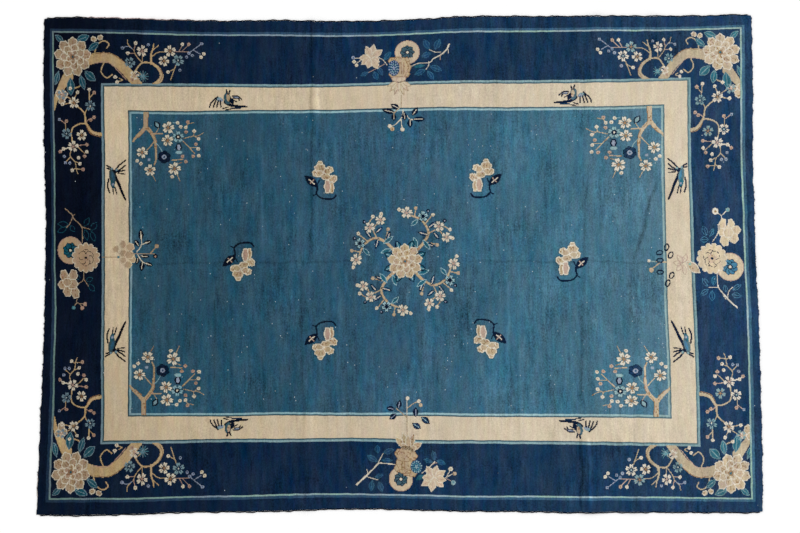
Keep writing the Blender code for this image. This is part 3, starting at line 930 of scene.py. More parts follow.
def corner_peony(chart):
    """Border corner: a garden peony with leaves and curls, and a thick old bough that grows past it."""
    chart.line([(0.6, 38.5), (1.6, 33), (4.6, 27), (8, 22)], "bough", 0.8, 5.5)
    chart.line([(12, 17), (20, 13.4), (29, 12.6), (35, 16.2), (39.2, 20.8), (43.5, 26.0)], "bough", 5.4, 4.6)
    chart.line([(16, 11.9), (23, 10.6), (30.4, 10.6), (36.2, 14.2)], "brown", 0.4)
    chart.line([(22, 15.4), (28.6, 14.8), (33.0, 18.2), (37.6, 23.4)], "rose", 0.4)
    chart.lines("bough", 0.7, [(22, 11), (23.2, 6.6), (26.6, 4.2), (29.4, 5.6), (28.4, 7.8)],
                [(27, 15), (25.4, 19.4), (28.2, 22.6), (31.0, 21.0)],
                [(5.6, 24), (11.0, 27.6), (14.6, 26.4), (14.8, 23.8)])
    chart.leaves("outer_line", "leaf_teal", "outer_line",
                 ((12, 4.5), (19.4, 1.8), 3.8), ((18.6, 9.2), (24.4, 5.0), 3.4),
                 ((5.6, 5.2), (1.2, 1.6), 3.0),
                 ((3.0, 19.4), (1.0, 26.4), 3.0), ((16.6, 19.4), (22.6, 24.4), 4.2),
                 ((9.2, 22.6), (9.4, 31.6), 4.4), ((14.4, 21.4), (16.6, 28.6), 3.4))
    chart.peony(10.4, 12.4, 9.6)
    chart.petals((3.0, 30.6, 2.0, 1.7, 60), (6.2, 31.2, 1.9, 1.6, 100), (4.6, 33.8, 2.3, 1.9, 90))
    chart.petals((21.6, 3.4, 1.6, 1.3, 20), (25.0, 2.6, 1.6, 1.3, 160))


def upper_bough(chart, outer, inner):
    """The blossom bough that loops along the long side of a border corner."""
    stem = "bough"
    chart.line([(51.0, 26.6), (54.9, 23.6), (55.5, 20.6), (53.8, 17.4), (50.2, 14.7)], stem, 2.2, 1.2)
    chart.line([(54.6, 24.6), (56.1, 20.8), (54.4, 17.0)], "brown", 0.36)
    chart.line([(50.6, 14.9), (45.6, 15.0), (42.4, 18.9), (40.4, 21.6)], stem, 0.95, 0.6)
    chart.line([(50.4, 15.4), (50.2, 10.9), (51.2, 7.7), (51.6, 5.2)], stem, 1.2, 0.45)
    chart.lines(stem, 0.45, [(50.6, 11.8), (53.7, 9.5), (57.2, 9.2)], [(51.0, 8.6), (54.0, 6.0)],
                [(45.8, 15.0), (42.6, 11.2), (41.3, 8.4), (38.7, 6.0), (38.3, 3.6)],
                [(45.8, 14.6), (45.8, 11.4)],
                [(42.4, 18.6), (46.2, 21.6)], [(62.6, 16.2), (61.2, 20.0), (60.0, 23.6)],
                [(62.2, 17.6), (59.4, 19.2)], [(35.8, 23.6), (34.4, 22.8)], [(35.9, 23.8), (33.6, 24.6)])
    chart.lines("rose", 0.42, [(41.6, 10.3), (38.8, 10.1)], [(41.5, 8.8), (42.3, 5.6)],
                [(62.0, 8.8), (69.4, 9.0)], [(64.2, 8.9), (66.0, 5.4)], [(65.4, 9.0), (69.0, 5.4)])
    chart.lines("lavender", 0.42, [(40.8, 7.9), (38.4, 6.7), (36.2, 7.4)],
                [(75.7, 4.6), (71.6, 7.7), (69.3, 9.5)], [(71.6, 8.0), (75.0, 10.0)])
    chart.blossoms("blossom_cream", "rose", (45.7, 8.9, 2.9, 10), (41.9, 21.2, 2.5, 20))
    chart.blossoms("blossom_cream", "brown", (56.7, 13.8, 2.8, 20))
    chart.blossoms("outer_line", None, (39.5, 14.9, 2.8, 25))
    chart.blossoms(outer, "brown", (59.8, 8.7, 3.0, -8))
    chart.blossoms(inner, None, (63.8, 13.3, 3.0, 40))
    chart.buds("outer_line", "blossom_cream", (39.5, 14.9), (63.8, 13.3), radius=0.5)
    for angle in range(0, 360, 30):
        way = math.radians(angle)
        chart.line([(46.1, 21.8), (46.1 + 2.7 * math.sin(way), 21.8 - 2.7 * math.cos(way))],
                   "blossom_teal" if angle % 60 else "outer_line", 0.42, 0.3)
    chart.buds("blossom_cream", "tan", (38.5, 10.1), (66.0, 5.0), (76.7, 9.8), (75.3, 11.5), (58.8, 19.4),
               (32.4, 22.2), (33.3, 24.7), (42.4, 5.0))
    chart.buds("rose", "brown", (69.2, 5.0), (40.8, 23.6))
    chart.buds("lavender", "slate", (35.9, 7.6), (48.8, 5.7), (75.7, 4.6), (69.3, 9.6), (71.0, 10.7),
               (68.1, 11.6), (64.7, 18.4), radius=0.8)


def lower_bough(chart, outer, inner):
    """The second bough of a border corner, growing from the cream band down the short side."""
    stem = "bough"
    chart.line([(26.0, 51.0), (20.6, 49.8), (18.3, 47.0), (17.0, 44.8)], stem, 1.7, 1.0)
    chart.line([(24.6, 52.0), (19.8, 50.6), (17.6, 47.4)], "brown", 0.36)
    chart.line([(17.2, 45.4), (13.9, 45.6), (10.5, 47.3), (9.4, 49.8), (9.7, 54.3)], stem, 0.8, 0.6)
    chart.line([(17.0, 45.6), (16.5, 40.3), (13.2, 37.1), (10.8, 35.4)], stem, 0.9, 0.5)
    chart.lines(stem, 0.45, [(16.6, 41.0), (17.6, 38.4), (19.6, 37.0)], [(11.2, 32.8), (12.9, 29.9)],
                [(10.0, 35.2), (5.0, 35.8)], [(6.4, 31.4), (9.6, 33.4)], [(19.2, 34.0), (19.1, 28.9)],
                [(19.3, 32.6), (21.6, 30.3)], [(6.4, 48.6), (6.5, 46.0), (6.5, 44.6)],
                [(8.8, 59.0), (8.6, 62.0),
                (11.0, 64.8), (11.6, 68.3), (12.4, 70.6)], [(8.4, 62.6), (5.8, 65.0)],
                [(10.8, 64.4), (13.4, 65.4)],
                [(11.5, 67.8), (9.6, 68.8)], [(11.8, 68.2), (15.0, 68.4)], [(13.0, 57.6), (16.4, 60.6)])
    chart.lines("rose", 0.42, [(17.2, 44.6), (19.4, 42.8)], [(12.6, 56.4), (17.0, 56.1)],
                [(6.4, 45.6), (3.4, 43.4)])
    chart.line([(8.2, 57.6), (5.4, 58.2), (3.3, 59.4)], "blossom_cream", 0.7, 0.45)
    chart.blossoms("outer_line", "rose", (4.8, 31.0, 2.6, 15))
    chart.blossoms("blossom_cream", "brown", (11.0, 35.0, 2.9, -5))
    chart.blossoms("blossom_cream", "rose", (10.2, 56.9, 2.9, 10))
    chart.blossoms("outer_line", None, (19.6, 36.4, 2.8, 0))
    chart.blossoms(outer, "brown", (14.8, 51.3, 2.8, 0))
    chart.blossoms(inner, None, (6.8, 50.5, 2.8, 30))
    chart.buds("outer_line", "blossom_cream", (19.6, 36.4), (6.8, 50.5), radius=0.5)
    chart.buds("blossom_cream", "tan", (19.1, 28.5), (4.9, 35.8), (9.1, 28.0), (12.9, 29.8), (12.9, 62.6),
               (13.6, 65.6), (9.4, 68.9), (5.0, 58.1), (17.3, 59.6))
    chart.buds("rose", "brown", (21.8, 30.0), (21.5, 42.2), (19.8, 43.5), (6.9, 44.2), (3.2, 59.6),
               (17.4, 56.0), (16.1, 61.8), (15.2, 68.5))
    chart.buds("lavender", "slate", (5.3, 62.0), (5.9, 65.2), (8.2, 65.3), (3.2, 43.4), radius=0.8)


def field_tree(chart):
    """Field corner: a blossom tree that comes in from the cream band."""
    stem = "tan"
    chart.line([(9.0, -1.0), (9.0, 8.7)], stem, 2.4, 2.4)
    chart.line([(9.0, 8.0), (6.6, 10.9), (3.7, 13.8), (2.4, 15.6)], stem, 2.2, 0.9)
    chart.line([(9.0, 8.2), (11.7, 11.2), (13.6, 15.0), (13.9, 18.9), (13.9, 24.6), (13.0, 27.4)], stem,
               2.0, 0.7)
    chart.lines("brown", 0.36, [(10.2, 0.4), (10.1, 8.6), (12.6, 11.6), (14.2, 15.0), (14.4, 20.0)],
                [(8.0, 10.9), (5.0, 13.8)])
    chart.lines(stem, 0.58, [(12.0, 11.5), (17.4, 11.6)], [(12.8, 16.0), (10.4, 18.9), (8.5, 20.8)],
                [(27.0, 14.7), (30.8, 18.6), (33.4, 21.6)], [(21.9, 24.9), (27.4, 24.4)])
    chart.lines(stem, 0.42, [(13.2, 12.4), (15.5, 8.7)],
                [(28.0, 13.8), (32.4, 12.8), (35.3, 12.5), (37.9, 11.0)],
                [(33.2, 12.6), (35.3, 14.1)], [(32.8, 12.6), (33.2, 10.4)], [(30.9, 18.6), (34.4, 18.4)],
                [(29.0, 8.0), (30.4, 6.4), (33.0, 6.0)], [(24.4, 31.8), (26.0, 35.6)],
                [(12.0, 32.2), (13.8, 35.6)], [(24.6, 26.8), (27.0, 25.8)])
    chart.lines("inner_line", 0.42, [(14.2, 16.4), (16.2, 18.9), (17.1, 20.8)], [(22.6, 6.0), (24.8, 6.1)])
    chart.blossoms("blossom_cream", "brown", (20.2, 8.4, 3.1, 10), (19.8, 14.9, 3.0, -6),
                   (6.9, 21.1, 2.9, 20), (10.9, 30.0, 3.0, 0), (23.2, 29.1, 3.3, 14), ground="deep_teal")
    chart.blossoms("inner_line", None, (25.1, 13.1, 2.9, 0), ground="deep_teal")
    chart.spot(25.1, 13.1, 1.3, "ink")
    chart.spot(25.1, 13.1, 0.5, "blossom_cream")
    chart.petals((25.4, 18.3, 1.5, 2.2, 0), edge="ink", fill="lavender", rim=0.7)
    chart.oval(25.4, 20.9, 1.7, 0.9, 0, "inner_line")
    chart.rosette(18.1, 23.3, 3.3, 6, "ink", "navy", "ink", 10)
    chart.spot(18.1, 23.3, 1.15, "lavender")
    chart.spot(18.1, 23.3, 0.5, "slate")
    chart.leaf((15.9, 9.0), (13.4, 5.2), 3.0, "ink", "outer_line", 0.7)
    chart.buds("blossom_cream", "tan", (24.9, 6.0), (26.4, 7.9), (29.0, 8.2), (33.2, 10.2), (35.4, 14.1),
               (35.2, 19.2), (4.4, 25.4), (6.3, 26.8), (22.0, 33.2), (35.5, 22.6))
    chart.buds("rose", "brown", (30.0, 5.5), (29.1, 10.6), (34.0, 16.8), (32.6, 22.8), (27.3, 22.8),
               (28.9, 25.5))
    chart.buds("lavender", "inner_line", (10.4, 24.8), radius=0.8)


def peony_sprig(chart):
    """Field sprig: a tan peony with pale petal edges, a dark bud and a dark bent stem."""
    chart.line([(-3.9, 4.4), (-3.7, 6.8), (-4.1, 9.0), (-1.4, 11.2), (3.7, 11.5), (5.6, 9.8)], "ink", 0.8)
    chart.lines("ink", 0.6, [(-4.0, 9.0), (-5.8, 9.8)], [(-3.9, 4.6), (-2.6, 2.0)])
    chart.leaf((-3.2, 5.6), (-10.0, -0.2), 4.0, "ink", "ink")
    chart.line([(-7.8, 1.8), (-5.2, 4.0)], "blossom_cream", 0.5)
    chart.line([(-5.4, 1.8), (-7.2, 3.8)], "rose", 0.5)
    shapes = ((-2.2, -6.5, 1.4, 1.3, 0), (-4.3, -1.5, 1.9, 1.9, 20), (2.6, -3.2, 2.0, 1.7, 20),
              (1.4, 5.3, 1.7, 3.5, 0),
              (3.5, 5.9, 1.25, 3.0, 0), (4.7, 1.5, 1.5, 2.0, 20), (3.0, 1.3, 1.8, 1.7, 0),
              (-2.2, -3.9, 2.9, 2.4, 10),
              (-2.6, -1.2, 2.1, 1.7, 0), (1.3, -2.3, 1.9, 1.9, 0), (0.6, 0.3, 2.7, 1.7, 10))
    for a, b, long, short, turn in shapes:
        chart.oval(a, b, long + 0.36, short + 0.36, turn, "deep_teal", 0.07)
    chart.petals(*shapes)
    chart.petals((1.4, 5.3, 1.7, 3.5, 0), fill="rose", rim=0.5)
    chart.lines("brown", 0.36, [(-2.8, -5.0), (-2.4, -3.4)], [(-1.2, -5.0), (-1.4, -3.6)],
                [(-4.6, -2.2), (-4.0, -1.0)],
                [(2.4, -4.0), (2.0, -2.8)], [(4.6, 0.6), (4.2, 2.0)], [(0.4, 0.4), (1.6, 0.8)],
                [(3.6, 4.6), (3.6, 7.2)])


def swallow(chart):
    """A small bird in flight along the cream band, teal and ink with spread wings and a long tail."""
    chart.line([(-1.4, 1.6), (0.6, 3.0), (3.6, 3.7), (9.2, 4.1)], "ink", 1.9, 0.9)
    chart.line([(1.6, 4.7), (6.2, 4.7)], "navy", 0.7)
    chart.oval(-0.4, -0.1, 2.9, 1.7, 80, "deep_teal")
    chart.oval(1.4, 0.9, 2.0, 1.1, 55, "ink")
    chart.oval(0.0, -0.5, 1.9, 0.85, 85, "tan")
    chart.lines("ink", 0.85, [(-0.5, -2.6), (-0.9, -4.5)], [(0.3, -2.4), (0.9, -4.1)])
    chart.oval(-4.4, 0.3, 1.9, 1.0, 20, "outer_line")
    chart.oval(-3.9, 0.6, 1.3, 0.6, 20, "lavender")
    chart.lines("ink", 0.75, [(-5.4, -0.9), (-7.4, 0.8), (-8.8, 2.4), (-9.3, 4.1)],
                [(-5.9, 0.3), (-6.8, 2.2), (-7.4, 4.0)],
                [(-4.9, 1.0), (-5.3, 2.4), (-5.7, 4.1)], [(-3.8, 1.1), (-3.7, 4.0)],
                [(2.2, -1.2), (4.7, -1.2), (6.8, 0.3)])
    chart.lines("ink", 0.6, [(2.6, -0.3), (5.2, 0.0), (5.6, 1.0)], [(2.4, 0.5), (4.3, 1.6)],
                [(-2.6, 4.9), (-0.2, 4.2)], [(-1.2, 5.6), (1.2, 5.2)])
    chart.line([(2.8, -0.7), (5.0, -0.6)], "lavender", 0.4)


def climbing_swallow(chart):
    """The same bird as the weaver drew it for the short sides, flying up the band."""
    chart.line([(-1.6, -4.6), (-0.2, -1.2), (1.5, 2.2), (3.2, 6.6), (4.7, 9.8)], "ink", 1.7, 0.9)
    chart.oval(-1.9, -1.6, 3.8, 1.5, 78, "deep_teal")
    chart.oval(-1.6, -2.0, 2.4, 0.7, 78, "leaf_blue")
    chart.oval(-1.8, 2.0, 2.2, 1.0, 75, "leaf_teal")
    chart.spot(-1.6, 2.2, 0.6, "lavender")
    chart.lines("ink", 0.8, [(-4.7, -7.4), (-2.8, -6.3)], [(-4.6, -5.9), (-2.9, -5.6)],
                [(-0.2, -5.4), (1.9, -7.8), (4.8, -10.0)],
                [(0.8, -4.8), (2.9, -6.0), (4.5, -7.4)], [(1.0, -4.2), (4.4, -5.1)],
                [(-3.7, -0.6), (-4.2, 3.0), (-3.2, 6.4)])
    chart.lines("ink", 0.6, [(1.0, -3.5), (4.4, -3.1)], [(-1.7, 3.8), (-1.2, 7.0)], [(-0.6, 3.4), (0.4, 7.0)])
    chart.spot(-0.4, -4.4, 1.0, "ink")
    chart.spot(-2.2, -5.7, 0.6, "outer_line")
    chart.spot(0.3, -5.2, 0.6, "outer_line")


def lily(chart, a, b, *tips):
    """A flower of pointed petals with pale edges and rosy veins."""
    for tip in tips:
        chart.leaf((a, b), tip, 3.8, "blossom_cream", "pale_tan", 0.34, 1.3, vein="rose")
    chart.oval(a, b, 1.8, 1.4, 20, "pale_tan")
    chart.lines("blossom_cream", 0.4, [(a - 1.8, b - 1.2), (a + 0.2, b + 0.4), (a + 2.0, b - 0.6)],
                [(a - 0.6, b + 1.8), (a + 0.2, b + 0.4)])


def rosette_disc(chart, a, b, radius, petal, turn=0.0):
    """A round pale shape with a thin rosy rim and a dark rosette on it."""
    chart.spot(a, b, radius, "rose")
    chart.spot(a, b, radius - 0.35, "pale_tan")
    chart.rosette(a, b, radius * 0.60, 8, "ink", petal, "ink", turn)
    chart.spot(a, b, radius * 0.1, "blossom_cream")


def scalloped_flower(chart, a, b, radius, turn=0.0):
    """A full flower with a scalloped rim and a ringed heart."""
    for k in range(14):
        angle = math.radians(turn) + 2 * math.pi * k / 14
        at = (a + radius * 0.84 * math.sin(angle), b - radius * 0.84 * math.cos(angle))
        chart.spot(*at, radius * 0.2, "blossom_cream")
        chart.spot(*at, radius * 0.2 - 0.3, "pale_tan")
    chart.spot(a, b, radius * 0.84, "pale_tan")
    chart.rosette(a, b, radius * 0.60, 6, "ink", "pale_tan", "ink", turn)
    chart.rosette(a, b, radius * 0.30, 6, "rose", "tan", "ink", turn + 30)


def aster(chart, a, b, long, short, outer, inner):
    """A round flower of many small petals in rings, with the dark ground between them."""
    chart.oval(a, b, long, short, 90, "dusk")
    for count, reach, dye in ((14, 0.88, outer), (10, 0.58, inner), (5, 0.26, outer)):
        for k in range(count):
            way = math.radians(360 * k / count)
            start = (a + (reach - 0.14) * short * math.sin(way), b - (reach - 0.14) * long * math.cos(way))
            chart.line([start, (a + reach * short * math.sin(way), b - reach * long * math.cos(way))], dye,
                       0.5)


BORDER_LEAF = ("leaf_blue", "dusk", "leaf_blue")  # thin outline and midline


def far_planting(chart):
    """Far border: a disc, a striped bulb of petals and a lily, with sprays to both sides."""
    chart.line([(25.5, 5.6), (24.1, 8.6), (20.9, 11.3), (17.6, 12.9), (15.5, 14.9), (9.8, 15.2), (6.0, 16.8)],
               "blossom_cream", 0.8, 0.36)
    chart.lines("blossom_cream", 0.38, [(24.8, 7.8), (25.1, 10.2)], [(21.2, 9.7), (18.4, 9.5), (15.5, 8.1)],
                [(15.3, 14.5), (14.8, 17.0), (11.9, 20.6)], [(-10.0, 11.3), (-7.7, 12.8), (-5.9, 15.3)],
                [(-18.8, 11.2), (-22.2, 11.2)], [(-18.6, 12.2), (-21.4, 14.2)])
    chart.lines("rose", 0.4, [(20.9, 11.0), (20.9, 13.8)], [(-7.2, 14.9), (-10.9, 17.0), (-15.9, 19.5)])
    chart.leaves(*BORDER_LEAF, ((15.5, 8.1), (12.7, 2.5), 3.3), ((18.4, 8.5), (20.8, 2.5), 3.3),
                 ((16.2, 9.9), (11.4, 11.9), 3.2), ((15.5, 16.7), (21.9, 19.5), 3.3),
                 ((13.7, 18.5), (7.8, 21.3), 3.0),
                 ((14.4, 19.2), (17.6, 24.0), 2.9), ((-7.4, 12.8), (-3.7, 8.3), 2.8),
                 ((-12.4, 18.5), (-10.7, 23.3), 3.0),
                 ((-10.6, 16), (-7.8, 21.2), 2.6), ((-14.9, 18.7), (-19.3, 20.8), 2.3))
    chart.leaf((13.4, 16.3), (7.5, 17.0), 2.0, "leaf_teal", "leaf_teal")
    lily(chart, -13.9, 11.2, (-12.3, 3.8), (-16.4, 4.8), (-7.8, 7.0), (-20.2, 11.4), (-9.4, 13.8),
         (-18.9, 14.8),
         (-15.6, 17.2), (-10.0, 17.6))
    chart.buds("lavender", "slate", (-22.8, 11.0), radius=0.9)
    chart.buds("blossom_cream", "tan", (-22.4, 13.2), (-21.2, 15.0))
    rosette_disc(chart, 4.4, 9.1, 6.3, "deep_teal")
    chart.petals((-3.2, 13.4, 2.0, 1.9, 0), (-0.4, 12.9, 2.1, 1.7, 0), (3.3, 13.5, 2.4, 1.9, 0),
                 (4.2, 17.0, 2.1, 3.2, 0),
                 (3.6, 20.6, 2.0, 1.9, 0), (-2.6, 20.4, 2.4, 1.9, 0), (0.8, 21.6, 2.6, 1.9, 0),
                 (1.0, 16.9, 3.9, 5.4, 0),
                 edge="brown", rim=0.34)
    chart.oval(1.0, 17.2, 3.6, 4.6, 0, "tan")
    chart.lines("brown", 0.34, *([(a, 14.4), (a, 20.6)] for a in (0.2, 1.4, 2.6, 3.8)))
    chart.petals((-1.8, 23.2, 1.8, 1.2, 20), (2.0, 23.2, 1.8, 1.2, 160), (0.2, 23.6, 1.6, 1.6, 0),
                 edge="rose", fill="pale_tan", rim=0.34)
    aster(chart, -2.4, 17.2, 4.2, 2.9, "lavender", "outer_line")


def near_planting(chart):
    """Near border: the same planting, turned over by the weaver with changes."""
    chart.line([(-21.3, 4.7), (-16.8, 8.8), (-13.3, 12.0), (-10.4, 14.9), (-6.8, 14.9), (-1.2, 14.7)],
               "blossom_cream", 0.9, 0.36)
    chart.lines("blossom_cream", 0.38, [(-10.8, 15.0), (-9.3, 17.7), (-7.9, 20.2)],
                [(-16.8, 8.6), (-13.3, 7.7), (-10.8, 7.0)], [(-15.8, 9.8), (-16.2, 12.0)],
                [(11.0, 10.9), (13.9, 13.1), (17.5, 16.6)], [(22.5, 8.8), (26.4, 10.9)],
                [(23.2, 9.6), (25.0, 12.6)])
    chart.lines("rose", 0.42, [(16.4, 15.4), (18.6, 16.2)], [(22.8, 8.6), (26.0, 7.0)])
    chart.leaves(*BORDER_LEAF, ((-10.8, 19.5), (-11.1, 23.8), 2.9), ((-8.3, 19.9), (-2.7, 21.8), 2.8),
                 ((-10.8, 15.6), (-16.4, 18.7), 2.9), ((-9, 16.3), (-3.4, 16.6), 2.4),
                 ((-12.5, 8.2), (-8.1, 9.7), 2.3),
                 ((-13.6, 7), (-14.4, 1.6), 2.9), ((-10.4, 6.6), (-8.8, 1.2), 3.0),
                 ((17.5, 17), (16.3, 21.9), 2.8),
                 ((18.2, 17), (22.8, 15.4), 2.4), ((16.4, 16.3), (11.6, 17.5), 2.3))
    chart.leaf((11.8, 10.2), (8.0, 7.2), 2.2, "leaf_teal", "leaf_teal")
    lily(chart, 16.7, 8.6, (13.0, 14.6), (18.6, 15.0), (22.8, 12.4), (10.4, 4.6), (10.8, 8.8), (15.4, 1.5),
         (21.8, 4.2),
         (23.2, 7.6))
    chart.buds("blossom_cream", "tan", (25.2, 13.1), radius=1.1)
    chart.buds("tan", "rose", (27.1, 10.9))
    chart.buds("outer_line", "blossom_teal", (26.4, 6.6), radius=1.2)
    rosette_disc(chart, 0.5, 7.7, 5.9, "deep_teal", 15)
    chart.petals((0.4, 19.9, 2.9, 2.4, 0), (5.9, 19.1, 3.0, 2.4, 0), (3.2, 21.6, 3.2, 2.2, 0),
                 (6.3, 11.2, 2.4, 2.4, 0),
                 (-0.4, 13.0, 2.4, 2.2, 0), (3.4, 11.2, 2.2, 2.0, 0), (2.6, 15.6, 4.2, 5.4, 0),
                 edge="brown", rim=0.34)
    chart.oval(2.6, 16.0, 3.8, 4.8, 0, "tan")
    chart.lines("brown", 0.34, *([(a, 12.6), (a, 16.4)] for a in (1.2, 2.4, 3.6)),
                [(-1.4, 17.0), (2.6, 16.2), (6.4, 17.0)], [(-0.8, 11.8), (2.6, 12.6), (5.6, 11.6)])
    aster(chart, 8.3, 13.9, 3.2, 2.9, "outer_line", "blossom_teal")


def far_band_petals(chart):
    """Faint petals on the cream band under the far planting, hardly darker than it."""
    for tip, width in (((-6.0, 0.4), 2.2), ((6.4, 0.6), 2.2), ((-4.6, 3.0), 2.2), ((4.8, 3.2), 2.2),
                       ((-2.6, 5.0), 2.0), ((2.5, 5.2), 2.0), ((0.0, 3.4), 2.0)):
        chart.leaf((0.0, -2.0), tip, width, "tan", "cream", 0.42)
    chart.lines("rose", 0.36, [(-3.6, 1.6), (-4.6, 3.0)], [(3.4, 1.4), (4.6, 2.8)],
                [(-1.4, 2.6), (-2.4, 4.6)])
    chart.line([(0.9, 5.2), (0.9, 11.6)], "tan", 0.36)


def near_band_petals(chart):
    """The near planting's petals, which stand up over the stripes onto the cream band."""
    for tip, width in (((-5.6, 1.0), 3.4), ((8.0, -1.4), 3.4), ((-1.8, 3.4), 3.2), ((4.2, 3.4), 3.2),
                       ((1.0, 2.4), 3.0), ((5.4, -3.4), 3.0), ((-2.2, -2.0), 2.6)):
        chart.leaf((1.2, -5.2), tip, width, "blossom_cream", "tan", 0.34)
    chart.line([(0.6, 2.6), (0.6, 11.8)], "tan", 0.4)


def far_field_sprig(chart):
    """A small sprig of dark leaves and buds that hangs into the field from the cream band."""
    chart.lines("blossom_cream", 0.45, [(1.6, 1.0), (0.9, 4.9), (-2.0, 8.1), (-4.3, 9.3)],
                [(0.5, 5.6), (1.1, 10.6)], [(1.9, 2.0), (4.8, 5.6), (7.0, 6.2)])
    chart.leaves("ink", "ink", "blossom_cream", ((0, 0.6), (-4.6, -1.9), 2.8),
                 ((-2.4, 2.4), (-8.9, 0.7), 2.7),
                 ((-3.1, 2.7), (-3.1, 6.4), 2.5), ((6.2, 4.2), (9.0, 0.1), 2.8), ((6.4, 6), (12.7, 5.9), 2.7),
                 ((5.1, 5.6), (5.1, 10.2), 2.7), ((2.1, 2), (2.5, 6.6), 2.5))
    chart.lines("tan", 0.5, [(-0.2, 0.2), (-2.7, 2.4), (-3.1, 4.4)])
    chart.buds("blossom_cream", "blossom_cream", (-5.1, 9.1), (1.2, 10.9), radius=1.05)
    chart.buds("tan", "brown", (-3.8, 10.6), radius=1.1)


def near_field_sprig(chart):
    """The near sprig, whose stem runs out of the band petals."""
    chart.line([(0.6, -3.2), (0.6, 8.4)], "blossom_cream", 0.5)
    chart.lines("tan", 0.45, [(0.9, 4.0), (4.1, 6.4), (6.3, 7.1)], [(0.2, -0.4), (-2.4, 1.8), (-4.6, 3.8)])
    chart.leaves("ink", "ink", "lavender", ((4.9, -0.6), (4.9, 4.4), 2.8), ((-3.8, 3.6), (-2.8, 8.0), 2.6),
                 ((-5.4, 3.4), (-9.6, 4.2), 2.5), ((-4.6, 1.4), (-8.0, -1.8), 2.8))
    chart.leaves("ink", "navy", "outer_line", ((7.6, -0.4), (11.8, -3.6), 3.1),
                 ((3.2, -3.6), (7.4, -6.1), 3.1))
    chart.buds("blossom_cream", "blossom_cream", (0.9, 8.9), (6.5, 7.4), radius=0.95)
    chart.buds("tan", "rose", (7.4, 5.5), radius=0.95)


def left_planting(chart):
    """Left border: a disc and a scalloped flower, with a spray above and a peony below."""
    chart.line([(5.7, -21.3), (9.3, -18.2), (10.4, -16.2), (14.3, -12.5), (15.0, -8.2), (15.0, -4.0)],
               "tan", 0.5, 0.36)
    chart.lines("tan", 0.38, [(9.4, -17.6), (10.8, -18.2)], [(9.6, -16.8), (8.2, -13.6), (6.4, -11.8)],
                [(14.4, -12.2), (17.0, -11.4), (20.0, -10.6)], [(15.7, 10.6), (15.3, 14.6), (12.8, 16.4)],
                [(15.7, 14.4), (18.5, 18.2)], [(11.8, 23.6), (11.8, 26.0), (14.8, 26.6)])
    chart.leaves("leaf_teal", None, None, ((7.8, -13.2), (1.6, -13.6), 3.1), ((6.8, -11.6), (1.4, -9.4), 2.8),
                 ((8.2, -12.7), (11.1, -9.7), 2.6), ((15.7, -12.2), (18.8, -16.8), 2.9),
                 ((19.3, -10.4), (23.0, -14.4), 3.1),
                 ((16.4, -10.9), (17.6, -5.4), 2.9), ((19.6, -10), (21.6, -4.7), 2.8),
                 ((16.6, 15), (20.6, 13.7), 2.6),
                 ((18, 16.6), (21.6, 20.2), 2.9), ((13.4, 14.6), (11.4, 11.7), 2.2))
    rosette_disc(chart, 8.5, -0.3, 6.9, "leaf_teal", 20)
    scalloped_flower(chart, 16.8, 3.4, 7.3)
    chart.oval(7.6, 16.6, 4.2, 4.6, 0, "tan")
    chart.petals((5.1, 12.5, 2.2, 3.0, -10), (9.9, 12.4, 2.3, 3.1, 10), (4.4, 17.0, 2.9, 2.2, 0),
                 (6.9, 20.4, 2.5, 2.6, 0),
                 (10.8, 20.8, 2.3, 3.3, -15), (9.4, 16.7, 3.0, 2.6, 0), (6.6, 15.8, 2.4, 2.1, 0), rim=0.34)
    chart.lines("brown", 0.36, [(5.4, 11.4), (5.6, 13.6)], [(9.8, 11.2), (9.8, 13.6)],
                [(9.0, 16.0), (10.4, 17.4)])
    chart.lines("tan", 0.4, [(11.8, 25.8), (10.2, 28.0)], [(13.2, 26.4), (14.4, 28.0)])
    chart.buds("blossom_teal", "outer_line", (10.0, 28.6), radius=0.95)
    chart.buds("rose", "tan", (14.6, 28.7), (16.2, 26.8), radius=1.05)


